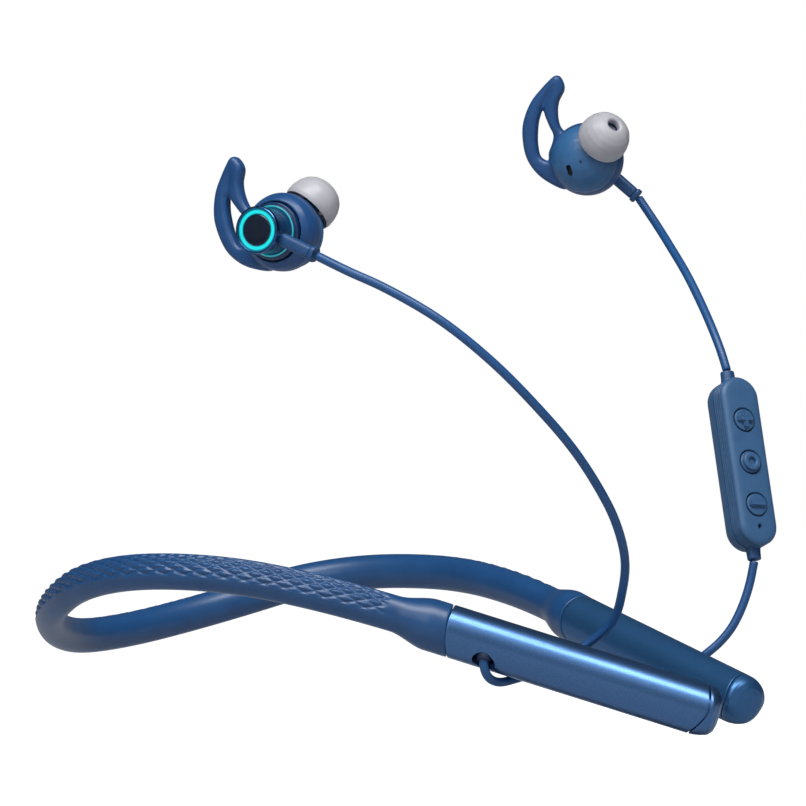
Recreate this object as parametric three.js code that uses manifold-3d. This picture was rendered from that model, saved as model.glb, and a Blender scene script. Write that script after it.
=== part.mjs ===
// Wireless neckband earphones, posed as they sit on a wearer.
// Millimetres, +Z up, +X to the wearer's left, -Y to the front.
// Origin: centre of the band's section at the back of the neck.
import * as THREE from 'three';
import { mergeVertices } from 'three/addons/utils/BufferGeometryUtils.js';
import Module from 'manifold-3d';

const wasm = await Module();
wasm.setup();

// ---------------------------------------------------------------- dimensions
const GAP = 0.3; // clearance between touching pieces

// silicone neck band: centreline from the left arm, round the neck, to the right arm
const BAND_LINE = [
  [34.0, -119.3, 3.8], [41.3, -105.6, 8.4], [48.2, -91.6, 12.0], [53.8, -76.8, 14.6],
  [57.1, -61.2, 15.6], [56.9, -45.5, 15.2], [52.4, -31.2, 12.9], [43.7, -19.0, 8.5],
  [31.5, -9.6, 4.5], [16.6, -3.1, 1.4], [0, 0, 0], [-16.6, -3.1, 1.4], [-31.5, -9.6, 4.8],
  [-43.7, -18.9, 8.8], [-52.4, -31.1, 13.3], [-56.9, -45.4, 15.8], [-57.1, -61.1, 16.2],
  [-53.8, -76.7, 14.8], [-48.2, -91.5, 11.6], [-41.3, -105.7, 7.4], [-34.0, -119.9, 2.5],
];
const BAND_HALF_H = 4.25; // half height of the oval section
const BAND_HALF_T = 3.65; // half thickness
const BAND_KNEE_LEFT = 5; // control point where the left side flexes
const BAND_KNEE_RIGHT = 15; // and the right side
const CHANNEL_HALF_H = 2.1; // channel inside the band for the wire and the cable
const CHANNEL_HALF_T = 1.15;
const COLLAR_LENGTH = 14; // the band's smooth collar, where it swells to the arm's size
const WIRE_R = 0.6; // spring steel memory wire
const CABLE_R = 0.75; // cable from arm to arm

// rigid arms
const ARM_HALF_H = 6.1;
const ARM_HALF_T = 5.7;
const ARM_WALL = 1.2;
const RIGHT_ARM = { seam: [-34.0, -119.9, 2.5], tip: [-9.8, -172.2, -15.5], side: -1 };
const LEFT_ARM = { seam: [34.0, -119.3, 3.8], tip: [9.8, -172.3, -13.5], side: 1 };
const CAP_LENGTH = 4.3;
const CAP_SPIGOT = 3.0;

// cord gland in the lower outer side of each arm
const GLAND_POS = [4.0, -4.3, 9.2]; // outward, up, along the arm
const GLAND_DIR = [0.24, -0.957, 0.16];
const GLAND_HOLE_R = 2.35;
const GLAND_R = 1.8;
const GLAND_BORE_R = 1.35;

// charging port on the left arm's outer side
const PORT_CENTRE_T = 46;
const PORT_LENGTH = 7.6;
const PORT_HEIGHT = 2.6;
const COVER_LENGTH = 11.0;
const COVER_HEIGHT = 4.2;

// in-line remote
const REMOTE_LOW = [43.0, -160.65, 18.71]; // lower boot's mouth
const REMOTE_HIGH = [52.0, -149.14, 63.89]; // upper boot's mouth
const REMOTE_FACING = [-0.5375, -0.8433, 0]; // way the buttons face
const REMOTE_WIDTH = 10.4;
const REMOTE_DEPTH = 9.2;
const REMOTE_LENGTH = 42.4;
const BUTTON_R = 2.7;
const BUTTON_PITCH = 10.65;
const BUTTON_PROUD = 0.35;

// ear buds: body centre and axes (out of the ear, up)
const RIGHT_BUD = { at: [-65, -93.4, 94.0], out: [-1, 0, 0], up: [0, 0, 1], side: -1 };
const LEFT_BUD = { at: [65, -104.6, 117.1], out: [0.9615, 0.2675, 0.0625], up: [0.0226, -0.3039, 0.9524], side: 1 };
const BUD_RING_R = 9.0; // silicone sleeve round the bud
const BUD_STEM_R = 5.25; // cylinder that carries the light face
const NOZZLE_DIR = [0.4, 0.707, -0.583]; // forward, up, out of the ear
const NOZZLE_R = 2.3;
const NOZZLE_END = 12.8;
const TIP_R = 6.3;
const BOOT_ANGLE = -24; // degrees, from forward, in the bud's own plane
const BOOT_OUT = 9.8; // the boot's height above the body centre
const BOOT_START = 5.65;
const BOOT_END = 14.5;

// cords
const CORD_R = 1.05;
const RIGHT_CORD = [
  [-34.2, -128.3, -3.1], [-34.5, -128.4, -4.6], [-34.2, -128.4, -6.3], [-32.8, -128.6, -7.9], [-30.4, -128.8, -8.9],
  [-27.3, -129.2, -9.3], [-23.5, -130.3, -8.7], [-19.5, -132.9, -7.4], [-13.2, -144.6, -0.5], [-13.3, -151.1, 4.9],
  [-17.0, -155.3, 11.6], [-22.5, -158.8, 19.0], [-29.5, -160.0, 27.5], [-36.5, -159.4, 35.0], [-45.5, -157.1, 44.3],
  [-53.5, -152.8, 53.0], [-61.8, -145.0, 63.8], [-68.2, -135.1, 73.2], [-72.3, -123.2, 80.5], [-74.6, -115.1, 84.3],
  [-74.8, -107.2, 87.9],
];
const LEFT_LOWER_CORD = [
  [34.1, -127.8, -1.7], [34.5, -127.9, -3.1], [34.9, -128.7, -4.8], [35.2, -131.0, -6.6], [35.5, -135.0, -8.0],
  [35.2, -140.4, -8.7], [34.6, -146.2, -7.9], [34.3, -151.2, -4.2], [36.0, -154.2, -1.4], [38.0, -156.8, 2.3],
  [40.2, -158.7, 7.5], [42.0, -159.9, 13.2], [43.0, -160.55, 18.35],
];
const LEFT_UPPER_CORD = [
  [52.0, -149.1, 64.25], [53.2, -147.0, 68.8], [55.8, -143.3, 74.7], [60.0, -138.1, 81.4],
  [65.0, -131.9, 88.5], [70.4, -125.2, 95.0], [75.2, -119.2, 100.6], [78.0, -112.75, 107.7],
];

// ------------------------------------------------------------------- colours
const silicone = { color: 0x1c4478, roughness: 0.62, metalness: 0.0 };
const armPaint = { color: 0x2c5c90, roughness: 0.28, metalness: 0.55 };
const armSatin = { color: 0x2a5488, roughness: 0.42, metalness: 0.35 };
const cordSkin = { color: 0x29578a, roughness: 0.55, metalness: 0.0 };
const remoteSkin = { color: 0x38608f, roughness: 0.5, metalness: 0.05 };
const budSkin = { color: 0x33618f, roughness: 0.5, metalness: 0.05 };
const tipSkin = { color: 0xc4c3c9, roughness: 0.45, metalness: 0.0 };
const chrome = { color: 0xdfe6ee, roughness: 0.12, metalness: 1.0 };
const light = { color: 0x27e6e6, roughness: 0.3, metalness: 0.0 };
const gloss = { color: 0x0a1a30, roughness: 0.08, metalness: 0.0 };
const steel = { color: 0x9aa0a6, roughness: 0.3, metalness: 1.0 };
const board = { color: 0x124a2c, roughness: 0.5, metalness: 0.1 };
const black = { color: 0x15181c, roughness: 0.6, metalness: 0.0 };
const cell = { color: 0xb9bec6, roughness: 0.35, metalness: 0.8 };
const grille = { color: 0x8f949c, roughness: 0.45, metalness: 0.7 };

// ------------------------------------------------------------------- helpers
const V = (a) => new THREE.Vector3(a[0], a[1], a[2]);
const root = new THREE.Group();

// closed, outward-facing geometry with merged vertices
function clean(geometry) {
  let g = geometry.clone();
  for (const k of Object.keys(g.attributes)) if (k !== 'position') g.deleteAttribute(k);
  g = mergeVertices(g, 1e-4);
  const p = g.attributes.position;
  const idx = g.index.array;
  const keep = [];
  let vol = 0;
  const a = new THREE.Vector3(), b = new THREE.Vector3(), c = new THREE.Vector3();
  for (let i = 0; i < idx.length; i += 3) {
    const [i0, i1, i2] = [idx[i], idx[i + 1], idx[i + 2]];
    if (i0 === i1 || i1 === i2 || i0 === i2) continue;
    a.fromBufferAttribute(p, i0); b.fromBufferAttribute(p, i1); c.fromBufferAttribute(p, i2);
    vol += a.dot(b.clone().cross(c)) / 6;
    keep.push(i0, i1, i2);
  }
  if (vol < 0) for (let i = 0; i < keep.length; i += 3) [keep[i + 1], keep[i + 2]] = [keep[i + 2], keep[i + 1]];
  g.setIndex(keep);
  g.computeVertexNormals();
  return g;
}
function toSolid(geometry) {
  const g = clean(geometry);
  return new wasm.Manifold(new wasm.Mesh({
    numProp: 3,
    vertProperties: new Float32Array(g.attributes.position.array),
    triVerts: new Uint32Array(g.index.array),
  }));
}
function fromSolid(solid) {
  const m = solid.getMesh();
  const g = new THREE.BufferGeometry();
  g.setAttribute('position', new THREE.BufferAttribute(new Float32Array(m.vertProperties), 3));
  g.setIndex(new THREE.BufferAttribute(new Uint32Array(m.triVerts), 1));
  return g;
}
function cut(base, ...tools) {
  let s = toSolid(base);
  for (const t of tools) s = s.subtract(toSolid(t));
  return fromSolid(s);
}
function join(base, ...others) {
  let s = toSolid(base);
  for (const t of others) s = s.add(toSolid(t));
  return fromSolid(s);
}
function mesh(name, geometry, look, parent = root) {
  const m = new THREE.Mesh(clean(geometry), new THREE.MeshStandardMaterial(look));
  m.name = name;
  parent.add(m);
  return m;
}
// solid of revolution about Z from [radius, z] pairs
function turned(profile, segments = 20) {
  const g = new THREE.LatheGeometry(profile.map(([r, z]) => new THREE.Vector2(Math.max(r, 0), z)), segments);
  g.rotateX(Math.PI / 2);
  g.scale(1, -1, 1); // keeps z upward after the turn
  return g;
}
function ring(rIn, rOut, z0, z1, segments = 20, chamfer = 0) {
  const p = chamfer
    ? [[rIn, z0], [rOut, z0], [rOut, z1 - chamfer], [rOut - chamfer, z1], [rIn + chamfer * 0.4, z1], [rIn, z1 - chamfer * 0.4], [rIn, z0]]
    : [[rIn, z0], [rOut, z0], [rOut, z1], [rIn, z1], [rIn, z0]];
  return turned(p, segments);
}
function disc(r, z0, z1, segments = 20, chamfer = 0) {
  return turned(chamfer ? [[0, z0], [r, z0], [r, z1 - chamfer], [r - chamfer, z1], [0, z1]] : [[0, z0], [r, z0], [r, z1], [0, z1]], segments);
}
function ellipse(a, b, n, out = new THREE.Shape()) {
  for (let i = 0; i < n; i++) {
    const t = (i / n) * 2 * Math.PI;
    i ? out.lineTo(a * Math.cos(t), b * Math.sin(t)) : out.moveTo(a * Math.cos(t), b * Math.sin(t));
  }
  out.closePath();
  return out;
}
function outline(points, out = new THREE.Shape()) {
  const area = points.reduce((t, [x, y], i) => t + x * points[(i + 1) % points.length][1] - y * points[(i + 1) % points.length][0], 0);
  if (area < 0) points = [...points].reverse(); // always counter-clockwise
  points.forEach(([x, y], i) => (i ? out.lineTo(x, y) : out.moveTo(x, y)));
  out.closePath();
  return out;
}
function roundBar(w, h, r, out = new THREE.Shape()) {
  const pts = [];
  for (const [sx, sy, a0] of [[1, 1, 0], [-1, 1, 90], [-1, -1, 180], [1, -1, 270]])
    for (const d of [0, 45, 90]) {
      const a = ((a0 + d) * Math.PI) / 180;
      pts.push([sx * (w / 2 - r) + r * Math.cos(a), sy * (h / 2 - r) + r * Math.sin(a)]);
    }
  return outline(pts, out);
}
const extrude = (shape, depth, steps = 1) => new THREE.ExtrudeGeometry(shape, { depth, steps, bevelEnabled: false, curveSegments: 6 });
const box = (x, y, z) => new THREE.BoxGeometry(x, y, z);
function slab(x0, x1, y0, y1, z0, z1) {
  return box(x1 - x0, y1 - y0, z1 - z0).translate((x0 + x1) / 2, (y0 + y1) / 2, (z0 + z1) / 2);
}
// turn +Z to a direction
function aim(g, dir) {
  return g.applyQuaternion(new THREE.Quaternion().setFromUnitVectors(new THREE.Vector3(0, 0, 1), V(dir).normalize()));
}
// group whose own X, Y, Z are the given world directions
function frameGroup(at, x, y, z, parent = root) {
  const g = new THREE.Group();
  g.quaternion.setFromRotationMatrix(new THREE.Matrix4().makeBasis(x, y, z));
  g.position.copy(at);
  parent.add(g);
  return g;
}
// section with +X outward and +Y up, carried along a curve
function alongCurve(shape, steps, place) {
  const g = extrude(shape, 1, steps);
  const p = g.attributes.position;
  const v = new THREE.Vector3();
  for (let i = 0; i < p.count; i++) {
    place(v.fromBufferAttribute(p, i));
    p.setXYZ(i, v.x, v.y, v.z);
  }
  return g;
}
function tube(points, radius, sides, spacing) {
  const curve = new THREE.CatmullRomCurve3(points.map(V), false, 'centripetal');
  const steps = Math.max(4, Math.round(curve.getLength() / spacing));
  return new THREE.ExtrudeGeometry(ellipse(radius, radius, sides), { steps, extrudePath: curve, bevelEnabled: false });
}

// ---------------------------------------------------------------------- band
const bandCurve = new THREE.CatmullRomCurve3(BAND_LINE.map(V), false, 'centripetal');
bandCurve.arcLengthDivisions = 2000;
const bandLength = bandCurve.getLength();
function lengthAt(index) {
  // arc length at a control point
  const t = index / (BAND_LINE.length - 1);
  const lengths = bandCurve.getLengths();
  return lengths[Math.round(t * (lengths.length - 1))];
}
const kneeLeft = lengthAt(BAND_KNEE_LEFT);
const kneeRight = lengthAt(BAND_KNEE_RIGHT);
const smooth = (t) => { const k = Math.min(1, Math.max(0, t)); return k * k * (3 - 2 * k); };
function bandPlace(v, s, kx, ky) {
  const u = Math.min(1, Math.max(0, s / bandLength));
  const c = bandCurve.getPointAt(u);
  const t = bandCurve.getTangentAt(u).normalize();
  const up = new THREE.Vector3(0, 0, 1).addScaledVector(t, -t.z).normalize();
  const n = up.clone().cross(t); // (n, up, t) is right-handed
  const x = v.x * kx, y = v.y * ky;
  v.copy(c).addScaledVector(n, x).addScaledVector(up, y);
}
function bandSection() {
  const s = ellipse(BAND_HALF_T, BAND_HALF_H, 14);
  const h = CHANNEL_HALF_T, k = CHANNEL_HALF_H;
  s.holes.push(outline([[h, 1.3], [h * 0.5, k], [-h * 0.5, k], [-h, 1.3], [-h, -1.3], [-h * 0.5, -k], [h * 0.5, -k], [h, -1.3]], new THREE.Path()));
  return s;
}
// one stretch of the sleeve, between two arc lengths; scale gives the section's growth
function sleeve(s0, s1, steps, scale, remap = (t) => t) {
  return alongCurve(bandSection(), steps, (v) => {
    const s = s0 + (s1 - s0) * remap(v.z);
    const inner = Math.abs(v.x) <= CHANNEL_HALF_T + 0.01 && Math.abs(v.y) <= CHANNEL_HALF_H + 0.01;
    const [kx, ky] = inner ? [1, 1] : scale(s);
    bandPlace(v, s, kx, ky);
  });
}
const collarScale = (toSeam) => {
  const k = smooth(1 - (toSeam - 5) / (COLLAR_LENGTH - 5));
  return [1 + k * (ARM_HALF_T / BAND_HALF_T - 1), 1 + k * (ARM_HALF_H / BAND_HALF_H - 1)];
};
const kneeScale = (fromKnee) => {
  // rounded end, centred on the flex axis
  const q = Math.min(1, Math.max(0, -fromKnee / (BAND_HALF_T + 0.05)));
  return [Math.sqrt(1 - q * q), 1];
};
const END = 3.1; // how far the rounded end reaches back past the flex axis
const SEAM_GAP = 0.4; // from the collar's end to the arm's seam plane
mesh('band_sleeve_back', sleeve(kneeLeft + 4.3, kneeRight - 4.3, 26, () => [1, 1]), silicone);
const sideRemap = (len) => (t) => {
  // short steps over the rounded end and the collar
  const stops = [0, 0.9 / len, 2.0 / len, 3.1 / len, 14 / len, 25 / len, 36 / len, 47 / len, 58 / len, (len - 14) / len, (len - 11) / len, (len - 8) / len, (len - 5) / len, 1];
  const i = Math.round(t * (stops.length - 1));
  return stops[i];
};
{
  const lenL = kneeLeft + END - SEAM_GAP;
  mesh('band_sleeve_left', sleeve(kneeLeft + END, SEAM_GAP, 13, (s) => {
    const a = collarScale(s), b = kneeScale(kneeLeft - s);
    return [a[0] * b[0], a[1] * b[1]];
  }, sideRemap(lenL)), silicone);
  const lenR = bandLength - SEAM_GAP - (kneeRight - END);
  mesh('band_sleeve_right', sleeve(kneeRight - END, bandLength - SEAM_GAP, 13, (s) => {
    const a = collarScale(bandLength - s), b = kneeScale(s - kneeRight);
    return [a[0] * b[0], a[1] * b[1]];
  }, sideRemap(lenR)), silicone);
}
// memory wire and arm-to-arm cable in the channel
function bandCore(radius, height, sides, from, to, steps) {
  return alongCurve(ellipse(radius, radius, sides), steps, (v) => {
    v.y += height;
    bandPlace(v, from + (to - from) * v.z, 1, 1);
  });
}
mesh('memory_wire', bandCore(WIRE_R, 1.05, 6, 4, bandLength - 4, 44), steel);
mesh('band_cable', bandCore(CABLE_R, -0.95, 6, 0.6, bandLength - 0.6, 46), black);

// ---------------------------------------------------------------------- arms
function armGroup(arm) {
  const z = V(arm.tip).sub(V(arm.seam)).normalize();
  const up = new THREE.Vector3(0, 0, 1).addScaledVector(z, -z.z).normalize();
  const x = up.clone().cross(z); // right-handed: x, up, z
  const g = frameGroup(V(arm.seam), x, up, z);
  g.userData = { length: V(arm.tip).distanceTo(V(arm.seam)), out: Math.sign(x.x * arm.side) };
  return g;
}
function armTube(length, o) {
  const s = ellipse(ARM_HALF_T, ARM_HALF_H, 20);
  ellipse(ARM_HALF_T - ARM_WALL, ARM_HALF_H - ARM_WALL, 20, s.holes[s.holes.push(new THREE.Path()) - 1]);
  const body = extrude(s, length - 0.3).translate(0, 0, 0.15);
  const hole = aim(disc(GLAND_HOLE_R, -2.9, 4, 14), [o * GLAND_DIR[0], GLAND_DIR[1], GLAND_DIR[2]]).translate(o * GLAND_POS[0], GLAND_POS[1], GLAND_POS[2]);
  return [body, hole];
}
function gland(o) {
  return aim(turned([[GLAND_BORE_R, -2.6], [GLAND_R, -2.6], [GLAND_R, -0.9], [GLAND_BORE_R + 0.25, -0.6], [GLAND_BORE_R, -0.9], [GLAND_BORE_R, -2.6]], 12),
    [o * GLAND_DIR[0], GLAND_DIR[1], GLAND_DIR[2]]).translate(o * GLAND_POS[0], GLAND_POS[1], GLAND_POS[2]);
}
function armCap(length) {
  const g = turned([[0, -CAP_SPIGOT], [4.35, -CAP_SPIGOT], [4.35, 0.15], [6.1, 0.15], [6.1, 1.2], [5.75, 2.5], [4.8, 3.5], [3.0, 4.1], [0, CAP_LENGTH]], 20);
  return g.scale(ARM_HALF_T / ARM_HALF_H, 1, 1).translate(0, 0, length);
}

const right = armGroup(RIGHT_ARM);
{
  const { length, out: o } = right.userData;
  const [body, hole] = armTube(length, o);
  mesh('right_arm_tube', cut(body, hole), armPaint, right);
  mesh('right_arm_cap', armCap(length), armPaint, right);
  mesh('right_cord_gland', gland(o), black, right);
  mesh('battery_cell', extrude(roundBar(5.2, 6.8, 0.9), 34).translate(0, 0, 19), cell, right);
  mesh('battery_protection_board', slab(-2.2, 2.2, -2.9, 2.9, 15.6, 16.6).translate(0, 0, 1.6), board, right);
}
const left = armGroup(LEFT_ARM);
{
  const { length, out: o } = left.userData;
  const [body, hole] = armTube(length, o);
  const t0 = PORT_CENTRE_T;
  const seat = slab(5.15 * o, 9 * o, -2.45, 2.45, t0 - COVER_LENGTH / 2 - 0.45, t0 + COVER_LENGTH / 2 + 0.45);
  const window_ = slab(2.5 * o, 9 * o, -1.6, 1.6, t0 - PORT_LENGTH / 2 - 0.35, t0 + PORT_LENGTH / 2 + 0.35);
  const fix = (g) => (o < 0 ? g.scale(1, 1, 1) : g);
  mesh('left_arm_tube', cut(body, hole, fix(seat), fix(window_)), armSatin, left);
  mesh('left_arm_cap', armCap(length), armSatin, left);
  mesh('left_cord_gland', gland(o), black, left);
  mesh('main_board', slab(-3.4, 3.4, -2.6, -1.6, 17, 55), board, left);
  mesh('radio_module', slab(-2.4, 2.4, -1.3, 0.5, 22, 31), cell, left);
  mesh('charge_port', cut(
    slab(-0.2 * o, 4.6 * o, -PORT_HEIGHT / 2, PORT_HEIGHT / 2, t0 - PORT_LENGTH / 2, t0 + PORT_LENGTH / 2),
    slab(1.2 * o, 6 * o, -0.9, 0.9, t0 - PORT_LENGTH / 2 + 0.4, t0 + PORT_LENGTH / 2 - 0.4)), steel, left);
  mesh('charge_port_cover', join(
    slab(5.45 * o, 6.05 * o, -COVER_HEIGHT / 2, COVER_HEIGHT / 2, t0 - COVER_LENGTH / 2, t0 + COVER_LENGTH / 2),
    slab(4.95 * o, 5.6 * o, -0.95, 0.95, t0 - 3.5, t0 + 3.5)), silicone, left);
}

// -------------------------------------------------------------------- remote
{
  const low = V(REMOTE_LOW), high = V(REMOTE_HIGH);
  const z = high.clone().sub(low).normalize();
  const y = V(REMOTE_FACING); y.addScaledVector(z, -y.dot(z)).normalize(); // front
  const x = y.clone().cross(z);
  const r = frameGroup(low.clone().add(high).multiplyScalar(0.5), x, y, z);
  const span = high.distanceTo(low);
  const W = REMOTE_WIDTH, D = REMOTE_DEPTH, L = REMOTE_LENGTH;
  const stadium = (w, l, n = 7) => {
    const pts = [];
    for (const [cz, a0] of [[l / 2 - w / 2, 0], [-(l / 2 - w / 2), 180]])
      for (let i = 0; i < n; i++) {
        const a = ((a0 + (i / (n - 1)) * 180) * Math.PI) / 180;
        pts.push([(w / 2) * Math.cos(a), cz + (w / 2) * Math.sin(a)]);
      }
    return outline(pts);
  };
  // outline drawn in X,Z; grown along +Y by turning the extrusion upright
  const upright = (g) => g.rotateX(Math.PI / 2).scale(1, -1, 1);
  const half = (bevel, depth) => {
    // flat rim at y = 0, rounded towards +y
    const g = new THREE.ExtrudeGeometry(stadium(W - 2 * bevel, L - 2 * bevel), { depth: depth - bevel, steps: 1, bevelEnabled: true, bevelThickness: bevel, bevelSize: bevel, bevelSegments: 2 });
    g.translate(0, 0, 0);
    const trim = slab(-20, 20, -40, 40, -10, 0);
    return upright(cut(g, trim));
  };
  const room = (wall, depth) => upright(extrude(stadium(W - 2 * wall, L - 2 * wall, 6), depth).translate(0, 0, -1));
  const buttonHole = (z0) => upright(disc(BUTTON_R + 0.3, 0, 10, 14)).translate(0, 0, z0);
  const places = { button_plus: BUTTON_PITCH, button_play: 0, button_minus: -BUTTON_PITCH };
  const drop = -0.6; // the buttons sit a little towards the bottom end
  const micBelow = 5.4; // under the minus button
  const front = D / 2 - 0.15;
  mesh('remote_front_shell', cut(half(1.8, front), room(1.2, front - 0.2), ...Object.values(places).map((p) => buttonHole(p + drop)),
    upright(disc(0.5, 0, 10, 8)).translate(0, 0, -BUTTON_PITCH - micBelow + drop)).translate(0, 0.15, 0), remoteSkin, r);
  mesh('remote_back_shell', cut(half(1.8, front), room(1.2, front - 0.2)).rotateZ(Math.PI).translate(0, -0.15, 0), remoteSkin, r);
  mesh('remote_board', upright(extrude(stadium(7.2, 38.6, 5), 0.8)).translate(0, 0.2, 0), board, r);
  for (const [name, p] of Object.entries(places)) {
    mesh(name, upright(disc(BUTTON_R, 2.05, D / 2 + BUTTON_PROUD, 14, 0.35)).translate(0, 0, p + drop), remoteSkin, r);
    mesh(name.replace('button', 'switch'), upright(disc(1.6, 1.3, 1.6, 8)).translate(0, 0, p + drop), steel, r);
  }
  mesh('remote_microphone', upright(disc(1.2, 1.3, 2.6, 8)).translate(0, 0, -BUTTON_PITCH - micBelow + drop), cell, r);
  const boot = () => turned([[0, 0], [1.75, 0], [1.55, 2.2], [1.45, 2.25], [0, 2.25]], 12);
  const bootLength = (span - L) / 2;
  const k = (bootLength - GAP) / 2.25;
  mesh('remote_upper_boot', boot().scale(1, 1, k).translate(0, 0, L / 2 + GAP), remoteSkin, r);
  mesh('remote_lower_boot', boot().scale(1, 1, k).rotateX(Math.PI).translate(0, 0, -L / 2 - GAP), remoteSkin, r);
}

// ------------------------------------------------------------------ ear buds
// In a bud's group +Z points out of the ear, +Y up, and forward is `f` times +X.
function bud(side, spec) {
  const z = V(spec.out).normalize();
  const y = V(spec.up); y.addScaledVector(z, -y.dot(z)).normalize();
  const x = y.clone().cross(z);
  const g = frameGroup(V(spec.at), x, y, z);
  const f = spec.side < 0 ? 1 : -1;
  const dir = [f * NOZZLE_DIR[0], NOZZLE_DIR[1], NOZZLE_DIR[2]];
  const name = (s) => `${side}_${s}`;

  mesh(name('bud_outer_shell'), turned([[0, 11.0], [4.2, 11.0], [4.2, 7.0], [5.5, 5.4], [5.5, 0], [6.6, 0], [6.6, 6.3], [5.35, 6.55], [BUD_STEM_R, 12.1], [0, 12.1]], 20), budSkin, g);
  const dome = turned([[0, -7.7], [2.4, -7.45], [4.7, -6.7], [6.8, -5.1], [8.0, -3.4], [8.35, -1.95], [6.6, -1.95], [6.6, -0.3], [5.5, -0.3], [5.5, -2.6], [4.9, -4.2], [3.5, -5.7], [1.8, -6.4], [0, -6.6]].reverse(), 20);
  const nozzle = aim(disc(NOZZLE_R, 6.2, NOZZLE_END, 14), dir);
  const bore = aim(disc(1.55, 4.6, 16, 10), dir);
  const vent = extrude(roundBar(1.3, 2.7, 0.6), 6).rotateZ((f * 30 * Math.PI) / 180).translate(-f * 1.8, -3.4, -10);
  const inner = toSolid(dome).add(toSolid(nozzle)).subtract(toSolid(bore)).subtract(toSolid(vent));
  mesh(name('bud_inner_shell'), fromSolid(inner), budSkin, g);
  mesh(name('nozzle_mesh'), aim(disc(1.2, 11.8, 12.1, 8), dir), grille, g);
  mesh(name('ear_tip'), aim(turned([[2.65, 9.0], [3.5, 9.0], [3.5, 12.0], [3.9, 12.8], [5.0, 11.9], [5.7, 9.8], [5.75, 7.6], [6.1, 7.4], [TIP_R, 8.4], [6.2, 10.2], [5.6, 12.5], [4.4, 14.2], [2.7, 15.0], [1.6, 14.9], [1.6, 13.4], [2.65, 13.1], [2.65, 9.0]], 18), dir), tipSkin, g);

  const sleeveRing = turned([[6.9, -1.6], [8.3, -1.6], [9.0, 0.2], [9.0, 2.4], [8.3, 4.4], [7.4, 5.4], [6.9, 5.6], [6.9, -1.6]], 24);
  const fin = outline([[-3, -8.7], [-7.5, -8.3], [-11.2, -6.9], [-14.5, -4.2], [-16.8, -0.1], [-17.9, 4], [-17.5, 9.4], [-15.8, 13.6], [-13.7, 16.7], [-12.2, 17.7], [-10.7, 16.6], [-10.4, 14.6], [-10.8, 11.5], [-10.3, 8.8], [-8.9, 6.0], [-6.6, 4.0], [-7.4, 0.6], [-7.1, -3], [-4.6, -6.4], [-2.6, -7.6]].map(([a, b]) => [f * a, b]));
  fin.holes.push(outline([[-14.0, 8.4], [-12.8, 6.8], [-11.3, 5.0], [-9.6, 3.2], [-9.5, 1.2], [-9.6, -1.2], [-9.1, -3.2], [-11.2, -2.8], [-12.8, -0.2], [-13.8, 3], [-14.3, 6]].map(([a, b]) => [f * a, b]), new THREE.Path()));
  mesh(name('ear_wing'), join(sleeveRing, extrude(fin, 3.4).translate(0, 0, -0.5)), silicone, g);

  mesh(name('light_bezel'), ring(4.95, 5.35, 12.4, 13.7, 24, 0.15), chrome, g);
  mesh(name('light_ring'), ring(3.7, 4.65, 12.4, 13.4, 20), light, g);
  mesh(name('face_disc'), disc(3.4, 12.4, 13.5, 18, 0.15), gloss, g);
  mesh(name('base_light_ring'), ring(5.65, 6.0, 6.8, 7.25, 20), light, g);
  mesh(name('light_board'), disc(3.8, 9.9, 10.5, 12), board, g);
  mesh(name('bud_magnet'), disc(3.6, 7.4, 9.4, 12), steel, g);
  mesh(name('driver'), turned([[0, -3.2], [4.4, -3.2], [4.7, -2.6], [4.7, -0.9], [3.2, -0.9], [3.2, 0.8], [0, 0.8]], 14), cell, g);

  // boot: a rounded bar from the stem, with a collar at the cord's end
  const len = BOOT_END - BOOT_START;
  const stops = [0, len - 1.3, len - 1.05, len], grow = [1, 1, 1.16, 1.16];
  const boot = extrude(roundBar(3.0, 3.0, 0.8), 1, 3);
  const p = boot.attributes.position;
  for (let i = 0; i < p.count; i++) {
    const k = Math.round(p.getZ(i) * 3);
    p.setXYZ(i, p.getX(i) * grow[k], p.getY(i) * grow[k], stops[k]);
  }
  const a = (BOOT_ANGLE * Math.PI) / 180;
  boot.translate(0, 0, BOOT_START).rotateY(Math.PI / 2).rotateZ(a);
  if (f < 0) boot.rotateY(Math.PI);
  mesh(name('bud_boot'), boot.translate(0, 0, BOOT_OUT), budSkin, g);
}
bud('right', RIGHT_BUD);
bud('left', LEFT_BUD);

// --------------------------------------------------------------------- cords
mesh('right_cord', tube(RIGHT_CORD, CORD_R, 8, 4.6), cordSkin);
mesh('left_lower_cord', tube(LEFT_LOWER_CORD, CORD_R, 8, 4.2), cordSkin);
mesh('left_upper_cord', tube(LEFT_UPPER_CORD, CORD_R, 8, 4.6), cordSkin);

export default root;
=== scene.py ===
import math
import bpy
import bmesh
import numpy as np
from mathutils import Matrix, Vector


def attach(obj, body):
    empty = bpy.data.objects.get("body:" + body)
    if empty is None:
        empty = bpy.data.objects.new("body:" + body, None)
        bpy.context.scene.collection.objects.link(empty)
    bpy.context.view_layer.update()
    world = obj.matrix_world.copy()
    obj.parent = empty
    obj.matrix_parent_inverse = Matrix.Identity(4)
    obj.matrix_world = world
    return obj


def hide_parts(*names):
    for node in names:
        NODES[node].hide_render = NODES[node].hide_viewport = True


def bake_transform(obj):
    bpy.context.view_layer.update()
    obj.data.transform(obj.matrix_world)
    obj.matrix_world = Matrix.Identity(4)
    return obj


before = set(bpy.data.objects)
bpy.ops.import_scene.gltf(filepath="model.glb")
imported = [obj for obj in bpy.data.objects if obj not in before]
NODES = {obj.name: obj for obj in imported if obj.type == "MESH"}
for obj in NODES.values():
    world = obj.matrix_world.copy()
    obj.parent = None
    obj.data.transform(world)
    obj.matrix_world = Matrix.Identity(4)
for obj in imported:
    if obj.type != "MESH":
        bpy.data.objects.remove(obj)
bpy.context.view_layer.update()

MM = 0.001

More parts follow.
